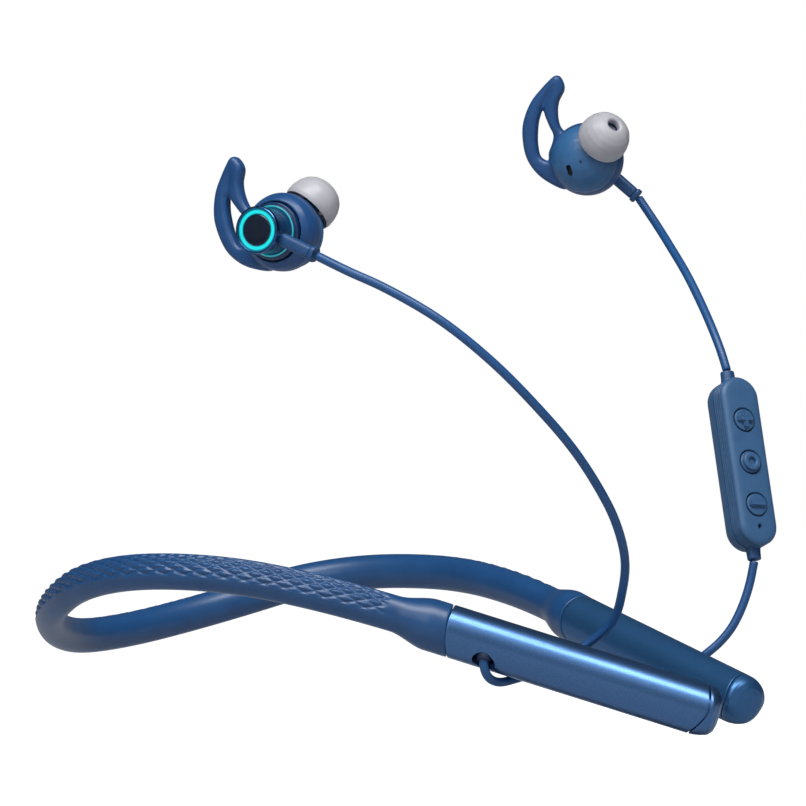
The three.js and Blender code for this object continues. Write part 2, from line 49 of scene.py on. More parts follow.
# ------------------------------------------------------------------ dimensions (mm), as in the CAD source
BAND_LINE = [
    [34.0, -119.3, 3.8], [41.3, -105.6, 8.4], [48.2, -91.6, 12.0], [53.8, -76.8, 14.6],
    [57.1, -61.2, 15.6], [56.9, -45.5, 15.2], [52.4, -31.2, 12.9], [43.7, -19.0, 8.5],
    [31.5, -9.6, 4.5], [16.6, -3.1, 1.4], [0, 0, 0], [-16.6, -3.1, 1.4], [-31.5, -9.6, 4.8],
    [-43.7, -18.9, 8.8], [-52.4, -31.1, 13.3], [-56.9, -45.4, 15.8], [-57.1, -61.1, 16.2],
    [-53.8, -76.7, 14.8], [-48.2, -91.5, 11.6], [-41.3, -105.7, 7.4], [-34.0, -119.9, 2.5],
]
BAND_H, BAND_T = 4.25, 3.65
ARM_H, ARM_T = 6.1, 5.7
ARMS = {
    "right": dict(seam=(-34.0, -119.9, 2.5), tip=(-9.8, -172.2, -15.5), side=-1),
    "left": dict(seam=(34.0, -119.3, 3.8), tip=(9.8, -172.3, -13.5), side=1),
}
GLAND_POS = (4.0, -4.3, 9.2)
GLAND_DIR = (0.24, -0.957, 0.16)
REMOTE_LOW, REMOTE_HIGH = (43.0, -160.65, 18.71), (52.0, -149.14, 63.89)
REMOTE_FACING = (-0.5375, -0.8433, 0)
REMOTE_W, REMOTE_D, REMOTE_L = 10.4, 9.2, 42.4
BUTTON_PITCH, BUTTON_SHIFT, BUTTON_R = 10.65, -0.6, 2.7
BUDS = {
    "right": dict(at=(-65, -93.4, 94.0), out=(-1, 0, 0), up=(0, 0, 1), f=1),
    "left": dict(at=(65, -104.6, 117.1), out=(0.9615, 0.2675, 0.0625), up=(0.0226, -0.3039, 0.9524), f=-1),
}
NOZZLE_DIR = (0.4, 0.707, -0.583)
CORD_R = 1.05
RIGHT_CORD = [
    [-34.2, -128.3, -3.1], [-34.5, -128.4, -4.6], [-34.2, -128.4, -6.3], [-32.8, -128.6, -7.9], [-30.4, -128.8, -8.9],
    [-27.3, -129.2, -9.3], [-23.5, -130.3, -8.7], [-19.5, -132.9, -7.4], [-13.2, -144.6, -0.5], [-13.3, -151.1, 4.9],
    [-17.0, -155.3, 11.6], [-22.5, -158.8, 19.0], [-29.5, -160.0, 27.5], [-36.5, -159.4, 35.0], [-45.5, -157.1, 44.3],
    [-53.5, -152.8, 53.0], [-61.8, -145.0, 63.8], [-68.2, -135.1, 73.2], [-72.3, -123.2, 80.5], [-74.6, -115.1, 84.3],
    [-74.8, -107.2, 87.9],
]
LEFT_LOWER_CORD = [
    [34.1, -127.8, -1.7], [34.5, -127.9, -3.1], [34.9, -128.7, -4.8], [35.2, -131.0, -6.6], [35.5, -135.0, -8.0],
    [35.2, -140.4, -8.7], [34.6, -146.2, -7.9], [34.3, -151.2, -4.2], [36.0, -154.2, -1.4], [38.0, -156.8, 2.3],
    [40.2, -158.7, 7.5], [42.0, -159.9, 13.2], [43.0, -160.55, 18.35],
]
LEFT_UPPER_CORD = [
    [52.0, -149.1, 64.25], [53.2, -147.0, 68.8], [55.8, -143.3, 74.7], [60.0, -138.1, 81.4],
    [65.0, -131.9, 88.5], [70.4, -125.2, 95.0], [75.2, -119.2, 100.6], [78.0, -112.75, 107.7],
]

# ------------------------------------------------------------------ camera
AZ, EL, DIST = math.radians(298.5), math.radians(-1.1056), 1500.0
TARGET = Vector((0, -88.6, 56.1))
back = Vector((math.sin(AZ) * math.cos(EL), -math.cos(AZ) * math.cos(EL), math.sin(EL)))
cam_data = bpy.data.cameras.new("camera")
cam = bpy.data.objects.new("camera", cam_data)
bpy.context.scene.collection.objects.link(cam)
cam_data.sensor_width = 36
cam_data.lens = 36 * 6300 / 806
cam.location = (TARGET + back * DIST) * MM
cam.rotation_mode = "QUATERNION"
right_v = Vector((math.cos(AZ), math.sin(AZ), 0))
up_v = back.cross(right_v)
cam.rotation_quaternion = Matrix((right_v, up_v, back)).transposed().to_quaternion()
cam_data.clip_start, cam_data.clip_end = 0.05, 60
bpy.context.scene.camera = cam


# ------------------------------------------------------------------ small maths
def unit(v):
    v = np.asarray(v, float)
    return v / np.linalg.norm(v)


def catmull(points, per=60):
    """Centripetal Catmull-Rom through the points, densely sampled."""
    P = np.asarray(points, float)
    P = np.vstack([2 * P[0] - P[1], P, 2 * P[-1] - P[-2]])
    out = []
    for i in range(1, len(P) - 2):
        p0, p1, p2, p3 = P[i - 1:i + 3]
        d0, d1, d2 = (max(np.linalg.norm(b - a), 1e-9) ** 0.5 for a, b in ((p0, p1), (p1, p2), (p2, p3)))
        t1 = ((p1 - p0) / d0 - (p2 - p0) / (d0 + d1) + (p2 - p1) / d1) * d1
        t2 = ((p2 - p1) / d1 - (p3 - p1) / (d1 + d2) + (p3 - p2) / d2) * d1
        w = np.linspace(0, 1, per, endpoint=False)[:, None]
        out.append(p1 + t1 * w + (-3 * p1 + 3 * p2 - 2 * t1 - t2) * w**2 + (2 * p1 - 2 * p2 + t1 + t2) * w**3)
    return np.vstack(out + [P[-2][None]])


class Line:
    """A sampled curve, read by arc length. A little smoothing evens out its curvature."""

    def __init__(self, points, smoothing=0.0):
        pts = catmull(points)
        s = np.concatenate([[0], np.cumsum(np.linalg.norm(np.diff(pts, axis=0), axis=1))])
        n = int(s[-1] / 0.25) + 1
        grid = np.linspace(0, s[-1], n)
        pts = np.stack([np.interp(grid, s, pts[:, k]) for k in range(3)], 1)
        if smoothing:
            h = s[-1] / (n - 1)
            m = int(3 * smoothing / h)
            ker = np.exp(-0.5 * (np.arange(-m, m + 1) * h / smoothing) ** 2)
            ker /= ker.sum()
            before, after = 2 * pts[0] - pts[m:0:-1], 2 * pts[-1] - pts[-2:-m - 2:-1]
            ext = np.vstack([before, pts, after])
            pts = np.stack([np.convolve(ext[:, k], ker, "valid") for k in range(3)], 1)
        self.p = pts
        self.s = np.concatenate([[0], np.cumsum(np.linalg.norm(np.diff(pts, axis=0), axis=1))])
        self.length = self.s[-1]
        self.t = np.gradient(pts, self.s, axis=0)
        self.t /= np.linalg.norm(self.t, axis=1)[:, None]

    def at(self, s):
        return np.stack([np.interp(s, self.s, self.p[:, k]) for k in range(3)], -1)

    def dir(self, s):
        d = np.stack([np.interp(s, self.s, self.t[:, k]) for k in range(3)], -1)
        return d / np.linalg.norm(d, axis=-1, keepdims=True)


def smooth(x):
    x = np.clip(x, 0, 1)
    return x * x * (3 - 2 * x)


def fillet(points, radii, n=4):
    """Rounds the inner corners of an open [x, y] chain."""
    P = [np.array(p, float) for p in points]
    if np.isscalar(radii):
        radii = [radii] * len(P)
    out = [P[0]]
    for i in range(1, len(P) - 1):
        a, b, c, r = P[i - 1], P[i], P[i + 1], radii[i]
        u, v = a - b, c - b
        lu, lv = np.linalg.norm(u), np.linalg.norm(v)
        if r <= 0 or lu < 1e-9 or lv < 1e-9:
            out.append(b)
            continue
        u, v = u / lu, v / lv
        half = math.acos(max(-1, min(1, u @ v))) / 2
        if half > math.radians(88):
            out.append(b)
            continue
        d = min(r / math.tan(half), 0.48 * lu, 0.48 * lv)
        p, q = b + u * d, b + v * d
        for k in range(n + 1):
            t = k / n
            out.append((1 - t) ** 2 * p + 2 * t * (1 - t) * b + t * t * q)
    out.append(P[-1])
    return [tuple(p) for p in out]


# ------------------------------------------------------------------ mesh building
def add_object(name, mesh, material, body=None, sharp=34):
    if mesh.polygons:
        mesh.shade_smooth()
        mesh.set_sharp_from_angle(angle=math.radians(sharp))
    o = bpy.data.objects.new(name, mesh)
    bpy.context.scene.collection.objects.link(o)
    if material:
        mesh.materials.clear()
        mesh.materials.append(material)
    if body:
        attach(o, body)
    return o


def build(name, verts, faces):
    """Mesh from millimetres, faces turned outwards."""
    me = bpy.data.meshes.new(name)
    me.from_pydata([tuple(v) for v in np.asarray(verts, float) * MM], [], [tuple(f) for f in faces])
    bm = bmesh.new()
    bm.from_mesh(me)
    bmesh.ops.remove_doubles(bm, verts=bm.verts, dist=1e-7)
    bmesh.ops.recalc_face_normals(bm, faces=bm.faces)
    bm.to_mesh(me)
    bm.free()
    me.update()
    return me


def grid_tube(P, cap=True):
    """verts, faces of a tube from P[n][m][3], closed round m, with its ends closed."""
    n, m = P.shape[:2]
    verts = P.reshape(-1, 3)
    faces = []
    for i in range(n - 1):
        for j in range(m):
            k = (j + 1) % m
            faces.append((i * m + j, i * m + k, (i + 1) * m + k, (i + 1) * m + j))
    if cap:
        verts = np.vstack([verts, P[0].mean(0), P[-1].mean(0)])
        a, b = n * m, n * m + 1
        for j in range(m):
            k = (j + 1) % m
            faces.append((a, k, j))
            faces.append((b, (n - 1) * m + j, (n - 1) * m + k))
    return verts, faces


def lathe_data(profile, seg=64, wobble=None):
    """verts, faces turned about local Z from [r, z]; a profile off the axis closes on itself."""
    verts, faces, rings = [], [], []
    closed = profile[0][0] > 1e-6 and profile[-1][0] > 1e-6
    pts = list(profile)
    if closed and np.allclose(pts[0], pts[-1]):
        pts = pts[:-1]
    for r, z in pts:
        if r <= 1e-6:
            rings.append([len(verts)])
            verts.append((0, 0, z))
        else:
            rings.append(list(range(len(verts), len(verts) + seg)))
            for k in range(seg):
                a = 2 * math.pi * k / seg
                verts.append((r * math.cos(a), r * math.sin(a), z))
    pairs = list(zip(rings, rings[1:])) + ([(rings[-1], rings[0])] if closed else [])
    for a, b in pairs:
        for k in range(seg):
            j = (k + 1) % seg
            if len(a) == 1 and len(b) == 1:
                continue
            if len(a) == 1:
                faces.append((a[0], b[k], b[j]))
            elif len(b) == 1:
                faces.append((a[k], a[j], b[0]))
            else:
                faces.append((a[k], a[j], b[j], b[k]))
    return np.array(verts, float), faces


def place(verts, M):
    v = np.c_[np.asarray(verts, float), np.ones(len(verts))]
    return (v @ np.asarray(M, float).T)[:, :3]


def frame_matrix(origin, x, y, z):
    M = np.eye(4)
    M[:3, 0], M[:3, 1], M[:3, 2], M[:3, 3] = x, y, z, origin
    return M


def turn_to(direction):
    """Rotation taking +Z to a direction, as 4x4."""
    q = Vector((0, 0, 1)).rotation_difference(Vector(direction).normalized())
    return np.array(q.to_matrix().to_4x4())


def lathe(name, profile, M, material, body, seg=64, sharp=34):
    v, f = lathe_data(profile, seg)
    return add_object(name, build(name, place(v, M), f), material, body, sharp)


def merged(parts):
    """Several (verts, faces) as one."""
    V, F, n = [], [], 0
    for v, f in parts:
        V.append(np.asarray(v, float))
        F += [tuple(i + n for i in q) for q in f]
        n += len(v)
    return np.vstack(V), F


def applied(o, name=None):
    """The object's mesh with its modifiers applied, as a new mesh."""
    bpy.context.view_layer.update()
    dg = bpy.context.evaluated_depsgraph_get()
    me = bpy.data.meshes.new_from_object(o.evaluated_get(dg))
    if name:
        me.name = name
    return me


def temp(mesh):
    o = bpy.data.objects.new("tmp_" + mesh.name, mesh)
    bpy.context.scene.collection.objects.link(o)
    return o


def drop(*objs):
    for o in objs:
        bpy.data.objects.remove(o)


def boolean(mesh, cutters, op="DIFFERENCE"):
    """mesh cut by (or joined with) each of the other meshes; all in metres."""
    o = temp(mesh)
    others = [temp(c) for c in cutters]
    for c in others:
        m = o.modifiers.new("b", "BOOLEAN")
        m.operation, m.solver, m.object = op, "EXACT", c
    out = applied(o)
    drop(o, *others)
    return out


def joined(*meshes):
    """Overlapping meshes as one, for a remesh to fuse."""
    bm = bmesh.new()
    for m in meshes:
        bm.from_mesh(m)
    out = bpy.data.meshes.new("joined")
    bm.to_mesh(out)
    bm.free()
    return out


def soften(mesh, voxel_mm, rounds, factor=0.5):
    """Voxel remesh, then Laplacian rounds: joined shapes get the soft inner corners of moulded rubber."""
    o = temp(mesh)
    m = o.modifiers.new("r", "REMESH")
    m.mode, m.voxel_size, m.use_smooth_shade = "VOXEL", voxel_mm * MM, True
    s = o.modifiers.new("s", "SMOOTH")
    s.factor, s.iterations = factor, rounds
    out = applied(o)
    drop(o)
    return out


def outline_slab(points, holes, thick, bevel, z0, resolution=3, per=10):
    """A flat outline (mm) through the given points, with holes, as a slab with rounded rims. Returns a mesh in metres."""
    cu = bpy.data.curves.new("outline", "CURVE")
    cu.dimensions, cu.fill_mode = "2D", "BOTH"
    cu.extrude = (thick / 2 - bevel) * MM
    cu.bevel_depth, cu.bevel_resolution, cu.offset = bevel * MM, resolution, -bevel * MM
    for ring in [points, *holes]:
        P = np.array(ring, float)
        ext = np.vstack([P[-3:], P, P[:3]])
        d = catmull(np.c_[ext, np.zeros(len(ext))], per)[2 * per + per:-(2 * per) - 1][: len(P) * per]
        sp = cu.splines.new("POLY")
        sp.points.add(len(d) - 1)
        for q, p in zip(sp.points, d):
            q.co = (p[0] * MM, p[1] * MM, 0, 1)
        sp.use_cyclic_u = True
    o = bpy.data.objects.new("outline", cu)
    bpy.context.scene.collection.objects.link(o)
    bpy.context.view_layer.update()
    me = bpy.data.meshes.new_from_object(o.evaluated_get(bpy.context.evaluated_depsgraph_get()))
    bpy.data.objects.remove(o)
    bm = bmesh.new()
    bm.from_mesh(me)
    bmesh.ops.remove_doubles(bm, verts=bm.verts, dist=2e-6)
    bmesh.ops.recalc_face_normals(bm, faces=bm.faces)
    for v in bm.verts:
        v.co.z += (z0 + thick / 2) * MM
    bm.to_mesh(me)
    bm.free()
    return me


def transformed(mesh, M_mm):
    """Moves a mesh that is in metres by a 4x4 whose translation is in mm."""
    M = Matrix([list(r) for r in M_mm])
    for k in range(3):
        M[k][3] *= MM
    mesh.transform(M)
    if M.to_3x3().determinant() < 0:
        mesh.flip_normals()
    return mesh


# ------------------------------------------------------------------ materials
def srgb(r, g, b):
    f = lambda c: c / 12.92 if c <= 0.04045 else ((c + 0.055) / 1.055) ** 2.4
    return (f(r / 255), f(g / 255), f(b / 255), 1)


class Nodes:
    def __init__(self, name):
        self.mat = bpy.data.materials.new(name)
        self.mat.use_nodes = True
        self.t = self.mat.node_tree
        self.bsdf = self.t.nodes["Principled BSDF"]
        self.co = self.t.nodes.new("ShaderNodeTexCoord")

    def new(self, kind, **inputs):
        n = self.t.nodes.new(kind)
        for k, v in inputs.items():
            n.inputs[k.replace("_", " ")].default_value = v
        return n

    def link(self, a, b):
        self.t.links.new(a, b)

    def noise(self, scale, detail=3, rough=0.55, stretch=None):
        n = self.new("ShaderNodeTexNoise", Scale=scale, Detail=detail, Roughness=rough)
        if stretch:
            m = self.t.nodes.new("ShaderNodeMapping")
            m.inputs["Scale"].default_value = stretch
            self.link(self.co.outputs["Object"], m.inputs["Vector"])
            self.link(m.outputs["Vector"], n.inputs["Vector"])
        else:
            self.link(self.co.outputs["Object"], n.inputs["Vector"])
        return n.outputs["Fac"]

    def span(self, value, lo, hi, a=0.3, b=0.7):
        n = self.new("ShaderNodeMapRange", From_Min=a, From_Max=b, To_Min=lo, To_Max=hi)
        self.link(value, n.inputs["Value"])
        return n.outputs["Result"]

    def mix(self, factor, a, b):
        n = self.t.nodes.new("ShaderNodeMix")
        n.data_type = "RGBA"
        n.inputs["A"].default_value, n.inputs["B"].default_value = a, b
        self.link(factor, n.inputs["Factor"])
        return n.outputs["Result"]

    def bump(self, height, distance_mm, strength=1.0, normal=None):
        n = self.new("ShaderNodeBump", Strength=strength, Distance=distance_mm * MM)
        self.link(height, n.inputs["Height"])
        if normal:
            self.link(normal, n.inputs["Normal"])
        return n.outputs["Normal"]

    def set(self, **kw):
        for k, v in kw.items():
            s = self.bsdf.inputs[k.replace("_", " ")]
            if isinstance(v, bpy.types.NodeSocket):
                self.link(v, s)
            else:
                s.default_value = v
        return self


def finish_material(name, light, dark, rough, metal=0.0, spread=500, grain=6000, grain_mm=0.012, grain_strength=0.6,
                    coat=0.0, coat_rough=0.1, sheen=0.0, specular=0.5, edge=None):
    """Two shades mottled at a few mm, a fine moulded grain, roughness that varies with both."""
    n = Nodes(name)
    big = n.noise(spread, 4, 0.6)
    fine = n.noise(grain, 3, 0.6)
    colour = n.mix(n.span(big, 0, 1), dark, light)
    n.set(Base_Color=colour, Metallic=metal, Roughness=n.span(fine, rough - 0.04, rough + 0.05))
    n.set(Normal=n.bump(fine, grain_mm, grain_strength), Coat_Weight=coat, Coat_Roughness=coat_rough,
          Sheen_Weight=sheen, Sheen_Roughness=0.4, Specular_IOR_Level=specular)
    return n.mat


def flake_paint(name, light, dark, rough, coat, coat_rough, metal):
    """Metallic paint: tiny bright flakes under a clear coat."""
    n = Nodes(name)
    v = n.new("ShaderNodeTexVoronoi", Scale=14000.0, Randomness=1.0)
    n.link(n.co.outputs["Object"], v.inputs["Vector"])
    sep = n.t.nodes.new("ShaderNodeSeparateColor")
    n.link(v.outputs["Color"], sep.inputs["Color"])
    colour = n.mix(n.span(sep.outputs["Red"], 0, 1, 0.0, 1.0), dark, light)
    wave = n.noise(90, 2, 0.5)
    n.set(Base_Color=colour, Metallic=metal, Roughness=n.span(wave, rough - 0.015, rough + 0.02),
          Coat_Weight=coat, Coat_Roughness=coat_rough, Normal=n.bump(sep.outputs["Green"], 0.0012, 0.25))
    return n.mat


M = {}
M["band"] = finish_material("band_silicone", srgb(30, 80, 132), srgb(24, 72, 122), 0.32, spread=160, grain=5200, grain_mm=0.004, sheen=0.1, coat=0.15, coat_rough=0.3)
M["wing"] = finish_material("wing_silicone", srgb(30, 78, 132), srgb(24, 70, 122), 0.34, spread=200, grain=5200, grain_mm=0.004, sheen=0.1)
# one arm paint in two copies: the near arm's copy is lighter, glossier and more metallic as painted light; the far
# arm's darker, duller copy is painted shade
M["arm_near"] = flake_paint("arm_paint_near_lit", srgb(88, 128, 178), srgb(58, 100, 152), 0.29, 0.3, 0.14, 0.84)
M["arm_far"] = flake_paint("arm_paint_far_shaded", srgb(60, 112, 162), srgb(42, 92, 144), 0.36, 0.2, 0.25, 0.6)
M["cord"] = finish_material("cord_jacket", srgb(34, 86, 142), srgb(28, 78, 132), 0.36, spread=200, grain=5000, grain_mm=0.003)
M["remote"] = finish_material("remote_soft_touch", srgb(58, 98, 140), srgb(50, 90, 132), 0.42, spread=220, grain=6500, grain_mm=0.004, sheen=0.1)
M["bud"] = finish_material("bud_soft_touch", srgb(54, 104, 152), srgb(46, 94, 142), 0.34, spread=220, grain=6500, grain_mm=0.004)
M["stem"] = finish_material("bud_stem_gloss", srgb(20, 56, 100), srgb(16, 48, 90), 0.24, spread=260, grain=6500, grain_mm=0.003, coat=0.3, coat_rough=0.15)
M["boot"] = finish_material("boot_rubber", srgb(36, 80, 128), srgb(30, 72, 120), 0.46, spread=300, grain=6000, grain_mm=0.004)
M["rubber_dark"] = finish_material("gland_rubber", srgb(20, 44, 78), srgb(10, 26, 52), 0.55, spread=700, grain=5000)
M["black"] = finish_material("cable_jacket", srgb(30, 32, 36), srgb(16, 18, 20), 0.5, spread=700, grain=5000)
M["chrome"] = finish_material("bezel_metal", srgb(66, 110, 160), srgb(52, 94, 144), 0.16, metal=1.0, spread=900, grain=9000, grain_mm=0.001)
M["gloss"] = finish_material("face_gloss", srgb(8, 26, 50), srgb(4, 16, 34), 0.12, spread=500, grain=3000, grain_mm=0.001, coat=0.25, coat_rough=0.05)
M["mesh"] = None
M["steel"] = finish_material("drawn_steel", srgb(178, 182, 188), srgb(140, 145, 152), 0.28, metal=1.0, spread=900, grain=8000, grain_mm=0.003)
M["foil"] = finish_material("cell_foil", srgb(196, 200, 206), srgb(160, 166, 174), 0.34, metal=0.8, spread=300, grain=2500, grain_mm=0.01)


def tip_material():
    n = Nodes("tip_silicone")
    big, fine = n.noise(300, 3, 0.5), n.noise(5000, 2, 0.5)
    n.set(Base_Color=n.mix(n.span(big, 0, 1), srgb(178, 177, 184), srgb(188, 187, 193)), Roughness=n.span(fine, 0.3, 0.4),
          Subsurface_Weight=0.35, Subsurface_Radius=(1.0, 0.9, 0.9), Subsurface_Scale=0.0015, Normal=n.bump(fine, 0.004, 0.4), Specular_IOR_Level=0.45)
    return n.mat


def light_material(name, glow, strength):
    """Lit light pipe: a milky body with a steady glow."""
    n = Nodes(name)
    big = n.noise(700, 2, 0.5)
    colour = n.mix(n.span(big, 0, 1), srgb(12, 120, 132), srgb(24, 136, 146))
    n.set(Base_Color=colour, Roughness=n.span(big, 0.25, 0.35), Emission_Color=glow, Emission_Strength=strength)
    return n.mat


def board_material():
    n = Nodes("circuit_board")
    v = n.new("ShaderNodeTexVoronoi", Scale=900.0)
    v.distance = "CHEBYCHEV"
    n.link(n.co.outputs["Object"], v.inputs["Vector"])
    n.set(Base_Color=n.mix(n.span(v.outputs["Distance"], 0, 1, 0.2, 0.8), srgb(20, 84, 52), srgb(10, 52, 32)),
          Roughness=n.span(v.outputs["Distance"], 0.35, 0.6), Normal=n.bump(v.outputs["Distance"], 0.03, 0.6))
    return n.mat


def mesh_material():
    n = Nodes("woven_mesh")
    ws = []
    for axis in ("X", "Y"):
        w = n.t.nodes.new("ShaderNodeTexWave")
        w.bands_direction = axis
        w.inputs["Scale"].default_value = 1300
        n.link(n.co.outputs["Object"], w.inputs["Vector"])
        ws.append(w.outputs["Fac"])
    mx = n.t.nodes.new("ShaderNodeMath")
    mx.operation = "MULTIPLY"
    n.link(ws[0], mx.inputs[0])
    n.link(ws[1], mx.inputs[1])
    n.set(Base_Color=n.mix(mx.outputs[0], srgb(120, 126, 140), srgb(168, 172, 184)), Metallic=0.6,
          Roughness=n.span(mx.outputs[0], 0.35, 0.55), Normal=n.bump(mx.outputs[0], 0.05, 0.8))
    return n.mat


M["tip"] = tip_material()
M["light"] = light_material("light_ring_cyan", srgb(10, 226, 224), 0.85)
M["light_edge"] = light_material("light_ring_edge", srgb(0, 116, 140), 0.6)
M["light_soft"] = light_material("light_arc_cyan", srgb(60, 196, 214), 0.4)
M["board"] = board_material()
M["mesh"] = mesh_material()

# ------------------------------------------------------------------ band
band = Line(BAND_LINE, 3.0)
LB = band.length
MID = LB / 2


def nearest(line, point):
    return line.s[int(np.argmin(np.linalg.norm(line.p - np.array(point), axis=1)))]


MID = nearest(band, (0, 0, 0))
KNEE = {"left": nearest(band, (56.9, -45.5, 15.2)), "right": nearest(band, (-56.9, -45.4, 15.8))}


def band_frame(s):
    c, t = band.at(s), band.dir(s)
    up = np.array([0, 0, 1.0]) - t * t[..., 2:3]
    up /= np.linalg.norm(up, axis=-1, keepdims=True)
    inward = np.cross(up, t)
    return c, -inward, up  # centre, outward, up


CELL_L, CELL_W = 4.7, 1.95  # one lozenge, along and round the band


def band_relief(s, phi, to_seam):
    """Depth (mm) of the moulded lozenges; phi is the angle up from straight out."""
    around = (phi - math.radians(-8)) * 4.05
    a, b = s / CELL_L + around / CELL_W, s / CELL_L - around / CELL_W
    da = np.abs(a - np.round(a))
    db = np.abs(b - np.round(b))
    groove = np.minimum(da, db)
    cell = smooth(groove / 0.4)
    lean = (b - np.floor(b)) - (a - np.floor(a))  # the upper flank of each lozenge stands a little proud
    zone = smooth((phi - math.radians(-14)) / math.radians(8)) * smooth((math.radians(92) - phi) / math.radians(12))
    zone = zone * smooth((to_seam - 15.2) / 2.6)
    return zone * (0.36 * cell - 0.34 - 0.07 * lean)


def collar(to_seam):
    k = smooth((14.0 - to_seam) / 9.0)
    return BAND_T + (ARM_T - BAND_T) * k, BAND_H + (ARM_H - BAND_H) * k


def seam_shift(cx, cy, distance):
    """The seam between collar and arm isn't square: it bows back on both flanks and runs forward underneath (mm towards the tip)."""
    w = cx**2 / np.maximum(cx**2 + cy**2, 1e-9)
    return (-0.35 - 0.95 * cy - 0.95 * w) * smooth(1 - distance / 6.0)


def cap_shift(cx, cy, distance):
    """The cap's seam bows towards the tip on both flanks and runs back underneath."""
    w = cx**2 / np.maximum(cx**2 + cy**2, 1e-9)
    return (1.6 * w + 1.6 * np.minimum(cy, 0)) * smooth(1 - distance / 5.0)


def band_half(side):
    s_end = LB - 0.12 if side == "right" else 0.12
    n = int(abs(s_end - MID) / 0.3)
    s = np.linspace(MID, s_end, n)
    # an eased edge at the seam
    edge = np.array([0.9, 0.6, 0.35, 0.15, 0.04, 0.0]) * (1 if side == "left" else -1)
    s = np.concatenate([s[abs(s - s_end) > 1.0], s_end + edge])
    lo_a, hi_a = math.radians(-20), math.radians(100)
    phi = np.concatenate([np.linspace(lo_a, hi_a, 88, endpoint=False), np.linspace(hi_a, lo_a + 2 * math.pi, 44, endpoint=False)])
    to_seam = (LB - s) if side == "right" else s
    T, H = collar(to_seam)
    S, PHI = np.meshgrid(s, phi, indexing="ij")
    SEAM = np.meshgrid(to_seam, phi, indexing="ij")[0]
    wrapped = (PHI + math.pi / 2) % (2 * math.pi) - math.pi / 2
    r = band_relief(S, wrapped, SEAM)
    lip = 0.22 * (1 - np.sqrt(np.clip(1 - (1 - np.clip((SEAM - 0.12) / 0.6, 0, 1)) ** 2, 0, 1)))
    c, out, up = band_frame(s)
    nx, ny = np.cos(PHI) / T[:, None], np.sin(PHI) / H[:, None]
    ln = np.sqrt(nx**2 + ny**2)
    X = T[:, None] * np.cos(PHI) + nx / ln * (r - lip)
    Y = H[:, None] * np.sin(PHI) + ny / ln * (r - lip)
    P = c[:, None] + out[:, None] * X[..., None] + up[:, None] * Y[..., None]
    along = band.dir(s) * (1 if side == "right" else -1)
    P = P + along[:, None] * seam_shift(np.cos(PHI), np.sin(PHI), SEAM)[..., None]
    v, f = grid_tube(P)
    me = build("band_skin_" + side, v, f)
    o = add_object("band_skin_" + side, me, M["band"], sharp=60)
    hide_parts("band_sleeve_" + side, "band_sleeve_back")
    return o


def tube_piece(name, line, radius, s0, s1, step, sides, material, offset=0.0, ends=0.0):
    n = max(8, int(abs(s1 - s0) / step))
    s = np.linspace(s0, s1, n)
    if ends:
        s = np.concatenate([[s0], s0 + np.sign(s1 - s0) * ends * np.array([0.12, 0.4]), s[1:-1], s1 - np.sign(s1 - s0) * ends * np.array([0.4, 0.12]), [s1]])
        s = np.unique(s) if s1 > s0 else np.unique(s)[::-1]
    c, t = line.at(s), line.dir(s)
    # carried frame, so that the sides don't twist
    u = np.cross(t[0], [0.3, 0.2, 0.93])
    us = []
    for k in range(len(s)):
        u = u - t[k] * (u @ t[k])
        u = u / np.linalg.norm(u)
        us.append(u)
    us = np.array(us)
    w = np.cross(t, us)
    rad = np.full(len(s), radius)
    if ends:
        d = np.minimum(abs(s - s0), abs(s - s1))
        rad = radius - ends + np.sqrt(np.clip(ends**2 - (ends - np.clip(d, 0, ends)) ** 2, 0, None))
    if offset:
        up = np.array([0, 0, 1.0]) - t * t[:, 2:3]
        c = c + up / np.linalg.norm(up, axis=1)[:, None] * offset
    a = np.linspace(0, 2 * math.pi, sides, endpoint=False)
    P = c[:, None] + rad[:, None, None] * (us[:, None] * np.cos(a)[None, :, None] + w[:, None] * np.sin(a)[None, :, None])
    v, f = grid_tube(P)
    return add_object(name, build(name, v, f), material, sharp=50), c


for side in ("right", "left"):
    skin = band_half(side)
    k = KNEE[side]
    sgn = 1 if side == "right" else -1
    a, b = band.at(k - sgn * 15.0) * MM, band.at(k + sgn * 15.0) * MM
    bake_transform(skin)
    s_far = LB - 3.6 if side == "right" else 3.6
    for kind, radius, off, mat, node in (("spring", 0.6, 1.05, M["steel"], "memory_wire"), ("cable", 0.75, -0.95, M["black"], "band_cable")):
        w, _ = tube_piece(f"band_{kind}_{side}", band, radius, MID, s_far, 1.2, 16, mat, offset=off, ends=0.15)
        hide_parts(node)
        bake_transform(w)


# ------------------------------------------------------------------ arms
def arm_frame(spec):
    z = unit(np.array(spec["tip"]) - np.array(spec["seam"]))
    up = unit(np.array([0, 0, 1.0]) - z * z[2])
    x = np.cross(up, z)
    o = 1 if x[0] * spec["side"] > 0 else -1
    return frame_matrix(spec["seam"], x, up, z), np.linalg.norm(np.array(spec["tip"]) - np.array(spec["seam"])), o


def oval_tube(profile, m=112, kx=ARM_T / ARM_H):
    """Closed [r, z] loop turned into an oval: r is the half height."""
    v, f = lathe_data(profile, m)
    v[:, 0] *= kx
    return v, f


